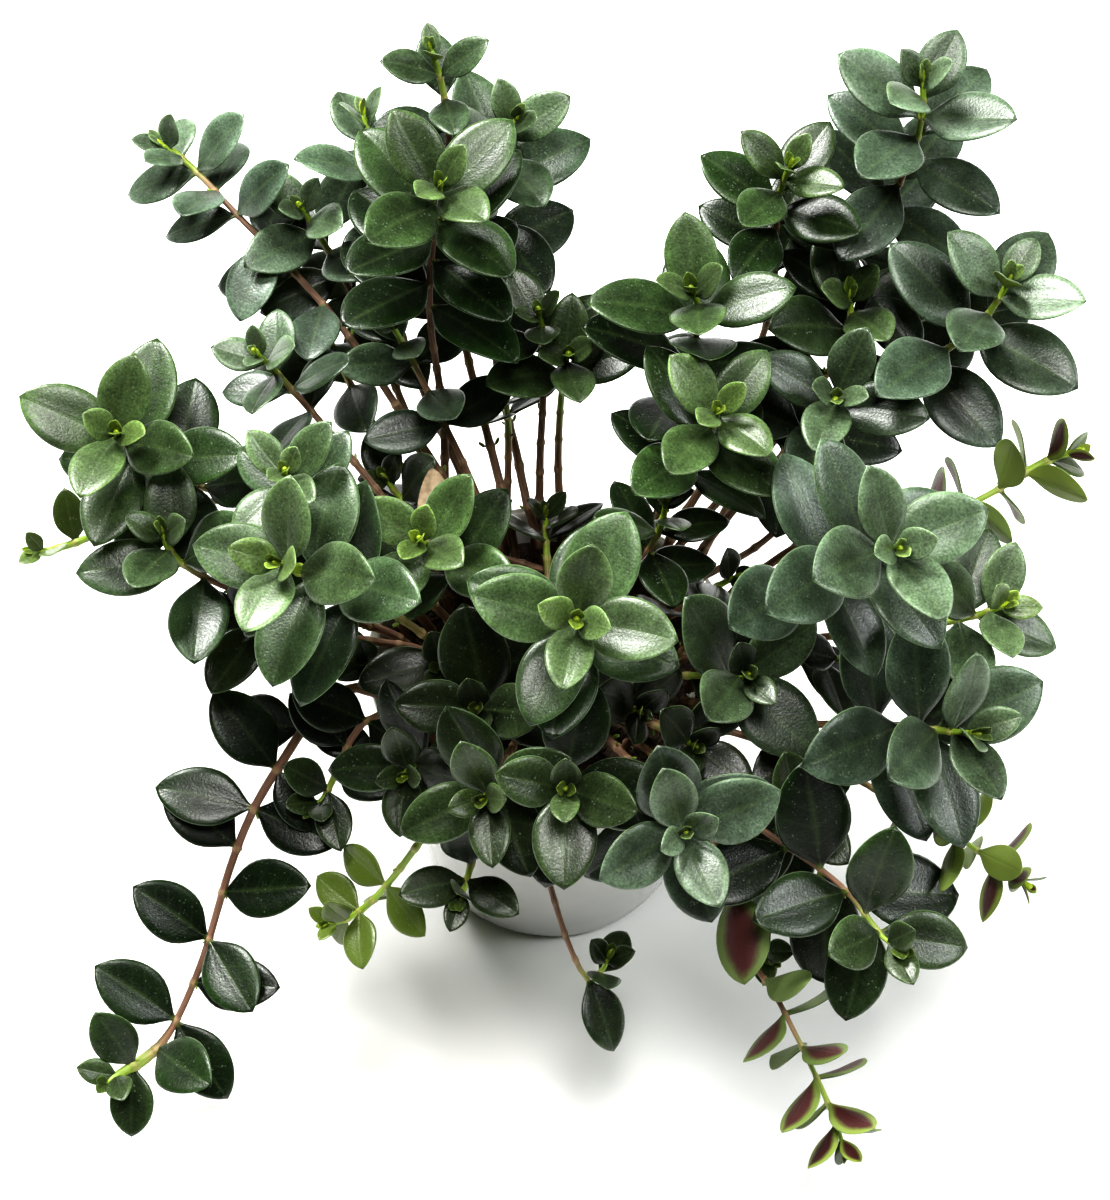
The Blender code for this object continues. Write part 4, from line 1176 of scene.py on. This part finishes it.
class Finish:
    """A new material, whose patterns lie in the object's coordinates or in a vector kept by the mesh."""

    def __init__(self, name, place=None):
        self.material = bpy.data.materials.new(name)
        self.material.use_nodes = True
        self.tree = self.material.node_tree
        self.at = self.kept(place, "Vector") if place else node(self.tree, "TexCoord").outputs["Object"]

    def kept(self, name, output):
        """What the mesh keeps under a name at each point."""
        return node(self.tree, "Attribute", attribute_name=name).outputs[output]

    def kept_amounts(self, name):
        """The three numbers that the mesh keeps under a name."""
        parts = node(self.tree, "SeparateColor", {0: self.kept(name, "Color")})
        return [Amount(part) for part in parts.outputs]

    def leaf_place(self):
        """How far along its leaf a point is, and how far from the midrib, both from 0 to 1."""
        uv = node(self.tree, "SeparateXYZ", {0: node(self.tree, "UVMap", uv_map="UVMap").outputs[0]})
        return Amount(uv.outputs[0]), abs(Amount(uv.outputs[1]) * 2.0 - 1.0)

    def noise(self, scale, detail, roughness=0.5):
        inputs = {"Vector": self.at, "Scale": scale, "Detail": detail, "Roughness": roughness}
        return Amount(node(self.tree, "TexNoise", inputs).outputs[0])

    def cells(self, scale):
        """The distance to the nearest of many scattered points."""
        made = node(self.tree, "TexVoronoi", {"Vector": self.at, "Scale": scale})
        return Amount(made.outputs["Distance"])

    def mix(self, share, a, b, how="MIX"):
        """Two colours blended by a share."""
        made = node(self.tree, "Mix", data_type="RGBA", blend_type=how)
        fill(made, {0: share, 6: a, 7: b})
        return made.outputs[2]

    def ramp(self, value, stops):
        """Colours along a value, from (place, colour) pairs."""
        made = node(self.tree, "ValToRGB", {0: value})
        band = made.color_ramp
        while len(band.elements) < len(stops):
            band.elements.new(0.5)
        for element, (place, colour) in zip(band.elements, stops):
            element.position = place
            element.color = (*colour, 1)
        return made.outputs[0]

    def done(self, bump, inputs):
        """The material, with its bump as height, strength and distance and its shader's other inputs."""
        shader = self.tree.nodes["Principled BSDF"]
        fill(shader, inputs)
        if bump:
            made = node(self.tree, "Bump", zip(("Height", "Strength", "Distance"), bump))
            fill(shader, {"Normal": made.outputs[0]})
        return self.material


def veins_of(along, off_rib):
    """The midrib, and the faint side veins that rise from it towards the tip, each from 0 to 1."""
    rib = (1.0 - off_rib * 11.0).clamped()
    slant = ((along - off_rib * 0.22) * 8.0).maths("FRACT")
    side_veins = (1.0 - abs(slant - 0.5) * 7.0).clamped() * (1.0 - off_rib).clamped()
    return rib, side_veins


def leaf_back(finish, along, off_rib, age, mottle, red):
    """The paler back of a leaf, with its wine-red flush along the midrib."""
    back = finish.mix(age, YOUNG_BACK, OLD_BACK)
    back = finish.mix(mottle * 0.4, back, MOTTLED_BACK)
    from_middle = (off_rib * 2.0) ** 2.0 + (along * 2.4 - 1.3) ** 2.0
    flush = (mottle * 0.5 + 0.9 - from_middle).clamped() * red
    return finish.mix((flush * 1.35).clamped(), back, WINE_RED)


def leaf_finish():
    """Fleshy satin leaves: dark when old, yellow-green when young, with painted light and shade, a thin
    pale rim that is partly a painted highlight, a midrib and a paler back that some shoots flush wine red."""
    finish = Finish("fleshy_leaf")
    along, off_rib = finish.leaf_place()
    age, tint, red = finish.kept_amounts("leaf_data")
    painted_light_level, grey, sky = finish.kept_amounts("shoot_data")
    olive = finish.kept("olive", "Fac")
    under = Amount(finish.kept("under", "Fac"))
    clouds = finish.noise(75.0, 1.0)
    mottle = finish.noise(260.0, 3.0)
    grain = finish.noise(1400.0, 2.0)
    rib, side_veins = veins_of(along, off_rib)

    # The upper side: its age and its blotches, a random tint per leaf, and painted light and shade: its
    # shoot's painted light level, painted shade where other leaves hide its sky, and painted shade towards
    # its base and its midrib
    light = (painted_light_level * 1.15 + 0.32) * (tint * 0.5 + 0.75) * (sky * 0.95 + 0.25)
    light = light * (clouds * 1.5 + 0.25) * (mottle * 0.9 + 0.45) * (grain * 1.9 + 0.05)
    # Painted shade: darker towards the leaf's base and beside its midrib, lighter towards its tip and its
    # margins
    light = light * (along * 0.7 + 0.6) * (off_rib**2.0 + 0.6)
    green = finish.ramp(age, LEAF_GREENS)
    # A grey in patches: partly the leaf's own waxy bloom, partly painted sheen
    green = finish.mix(grey * (clouds * 0.7 + 0.15), green, BLOOM_AND_SHEEN_GREY)
    green = finish.mix(1.0, green, light, "MULTIPLY")
    # Olive yellow-green: on the pale front shoot it is painted light shining through the leaves
    green = finish.mix(olive, green, OLIVE_GREEN)

    # What is drawn on it: veins, fine pale specks and the stalk
    green = finish.mix(rib * 0.12, green, MIDRIB_GREEN)
    green = finish.mix(side_veins * 0.05, green, SIDE_VEIN_GREEN)
    cells = finish.cells(850.0)
    speck_size = (finish.noise(330.0, 1.0) - 0.38) * 0.8
    green = finish.mix((cells < speck_size) * 0.3, green, SPECK_GREEN)
    green = finish.mix((1.0 - along * 7.0).clamped() * 0.85, green, STALK_GREEN)

    # Both sides, and the thin pale rim round them: partly the leaf's paler edge, partly a painted highlight
    # that is brighter on shoots painted lighter
    back = leaf_back(finish, along, off_rib, age, mottle, red * (tint > 0.4))
    skin = finish.mix(under, green, back)
    rim = ((off_rib - 0.915) * 25.0).clamped()
    skin = finish.mix(rim * (painted_light_level * 0.4 + 0.4), skin, PALE_RIM_AND_HIGHLIGHT_GREEN)
    height = cells * 0.1 + grain * 0.5 - rib * 0.5 - side_veins * 0.08
    return finish.done((height, 0.5, 0.3 * MM), {
        "Base Color": skin,
        "Roughness": finish.noise(1300.0, 2.0) * 0.3 + 0.19 + under * 0.2,
        "Specular IOR Level": 0.4,
        "Sheen Weight": 0.04,
        "Sheen Roughness": 0.5,
        "Sheen Tint": (0.85, 0.95, 0.85),
    })


def stem_finish():
    """Stems that are green and tender at the tip and red-brown and woody below."""
    finish = Finish("stem_bark", "bark_place")
    ripe, ring, dry = finish.kept_amounts("bark_data")
    streaks = finish.noise(2.6, 4.0)
    ripe = (ripe + (streaks - 0.5) * 0.35).clamped()
    bark = finish.mix(ring * 0.6, finish.ramp(ripe, BARKS), RING_TAN)
    bark = finish.mix(dry, bark, finish.ramp(streaks, DULL_BROWNS))
    bark = finish.mix(1.0, bark, finish.ramp(streaks, STREAKS), "MULTIPLY")
    return finish.done((streaks + ring, 0.6, 0.4 * MM), {"Base Color": bark, "Roughness": ripe * 0.3 + 0.4})


def withered_finish():
    """A dried leaf: beige with darker stains, and brown towards its rim."""
    finish = Finish("withered_leaf")
    off_rib = finish.leaf_place()[1]
    stain = finish.noise(420.0, 4.0)
    beige = finish.ramp(stain + off_rib * 0.25, WITHERED)
    return finish.done((stain, 0.6, 0.4 * MM), {"Base Color": beige, "Roughness": 0.7})


def glaze_finish():
    """White glaze painted light grey, as painted shade, with a faint speckle and slow waves, and bare pale
    clay under the foot.
    """
    finish = Finish("white_glaze")
    high = Amount(node(finish.tree, "SeparateXYZ", {0: finish.at}).outputs[2])
    clouds = finish.noise(22.0, 3.0)
    grit = finish.noise(900.0, 3.0)
    bare = (1.0 - high * 700.0).clamped()
    white = finish.mix((finish.cells(260.0) < 0.08) * 0.25, finish.ramp(clouds, GLAZE_WHITE_AND_PAINTED_SHADE), GLAZE_SPECK)
    skin = finish.mix(bare, white, finish.ramp(grit, CLAYS))
    height = finish.noise(60.0, 1.0) + grit * bare * 0.6
    return finish.done((height, 0.25, 0.6 * MM), {
        "Base Color": skin,
        "Roughness": bare * 0.6 + clouds * 0.1 + 0.1,
        "Coat Weight": 0.4,
        "Coat Roughness": 0.06,
    })


def soil_finish():
    """Dark, moist, fibrous soil."""
    finish = Finish("potting_soil")
    coarse = finish.noise(170.0, 6.0, 0.7)
    fine = finish.noise(900.0, 5.0)
    brown = finish.ramp(coarse, SOIL_BROWNS)
    rough = fine * 0.2 + 0.78
    return finish.done((coarse + fine, 1.0, 1.2 * MM), {"Base Color": brown, "Roughness": rough})


def grain_finish(name, dark, pale, rough):
    """Small bits with a grain of two colours."""
    finish = Finish(name)
    grain = finish.noise(500.0, 4.0)
    colour = finish.ramp(grain, ((0.35, dark), (0.65, pale)))
    return finish.done((grain, 0.7, 0.5 * MM), {"Base Color": colour, "Roughness": rough})


def floor_finish():
    """Plain pale paper."""
    finish = Finish("pale_floor")
    grey = finish.ramp(finish.noise(3.0, 2.0), FLOOR_GREYS)
    return finish.done(None, {"Base Color": grey, "Roughness": 0.85})


# The floor, the light and the camera


def make_floor():
    """A plain pale floor, not part of the object."""
    bm = bmesh.new()
    bmesh.ops.create_grid(bm, x_segments=8, y_segments=8, size=FLOOR_REACH)
    floor = put("pale_floor", mesh_of("pale_floor", bm))
    floor.data.materials.append(floor_finish())
    floor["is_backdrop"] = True


def facing(obj, way):
    """Turn a lamp or a camera so that it looks along a way."""
    obj.rotation_euler = way.to_track_quat("-Z", "Y").to_euler()


def light_the_scene():
    """A dim white world, the large soft lamps, and the tones of the photograph."""
    world = bpy.data.worlds.new("studio")
    world.use_nodes = True
    fill(world.node_tree.nodes["Background"], {0: (1.0, 1.0, 1.0), 1: WORLD_STRENGTH})
    bpy.context.scene.world = world
    for name, (place, width, power, colour) in LAMPS.items():
        lamp = bpy.data.lights.new(name, "AREA")
        lamp.shape = "DISK"
        lamp.size = width
        lamp.energy = power
        lamp.color = colour
        obj = put(name, lamp)
        obj.location = place
        facing(obj, LAMP_TARGET - Vector(place))
    bpy.context.scene.view_settings.view_transform = "Standard"
    bpy.context.scene.view_settings.look = "High Contrast"


def place_camera():
    """The photograph's view: straight from the front, 55 degrees above the floor."""
    back = Vector((0, -math.cos(CAMERA_TILT), math.sin(CAMERA_TILT)))
    lens = bpy.data.cameras.new("camera")
    lens.sensor_width = SENSOR_MM
    lens.lens = LENS_MM
    camera = put("camera", lens)
    camera.location = CAMERA_TARGET + back * CAMERA_DISTANCE
    facing(camera, -back)
    bpy.context.scene.camera = camera


def make_plant():
    """Every stem with its leaves, as the plan has them."""
    shoots, routes, leaves = plan_plant()
    cage = leaf_cage()
    crown = surface_of_all(leaves)
    leaf_skin = leaf_finish()
    stem_bark = stem_finish()
    for s, line in zip(shoots, routes):
        own = [leaf for leaf in leaves if leaf.shoot == s.name]
        if s.name == TURNED_LEAF_STEM:
            own.append(turned_leaf(s, line))
        make_bark(s, line, stem_bark)
        if s.pairs:
            make_leaves(s, line, own, crown, cage, leaf_skin)
        if s.name == DRIED_LEAF_STEM:
            make_dried_leaf(s, line, cage, withered_finish())


def make_pot_and_soil():
    """The pot, the soil, and what lies on it."""
    make_glazed_pot(glaze_finish())
    make_soil_top(soil_finish())
    crumb = grain_finish("soil_crumb", (0.016, 0.01, 0.007), (0.07, 0.045, 0.03), 0.95)
    scatter("soil_crumbs", CRUMBS, (0.6, 2.2), 0.75, crumb, "crumbs")
    perlite = grain_finish("perlite", (0.55, 0.53, 0.48), (0.8, 0.79, 0.75), 0.85)
    scatter("perlite", PERLITE_BITS, (0.8, 1.9), 0.8, perlite, "perlite")
    make_fibres(grain_finish("bark_fibre", (0.05, 0.028, 0.016), (0.17, 0.11, 0.065), 0.9))


def write_sizes():
    """Work out both boxes, of the solids and of the finished object; neither is kept or compared."""
    boxes = [[list(map(float, corner)) for corner in box] for box in (cad_box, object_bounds())]


make_plant()
make_pot_and_soil()
make_floor()
light_the_scene()
place_camera()
write_sizes()
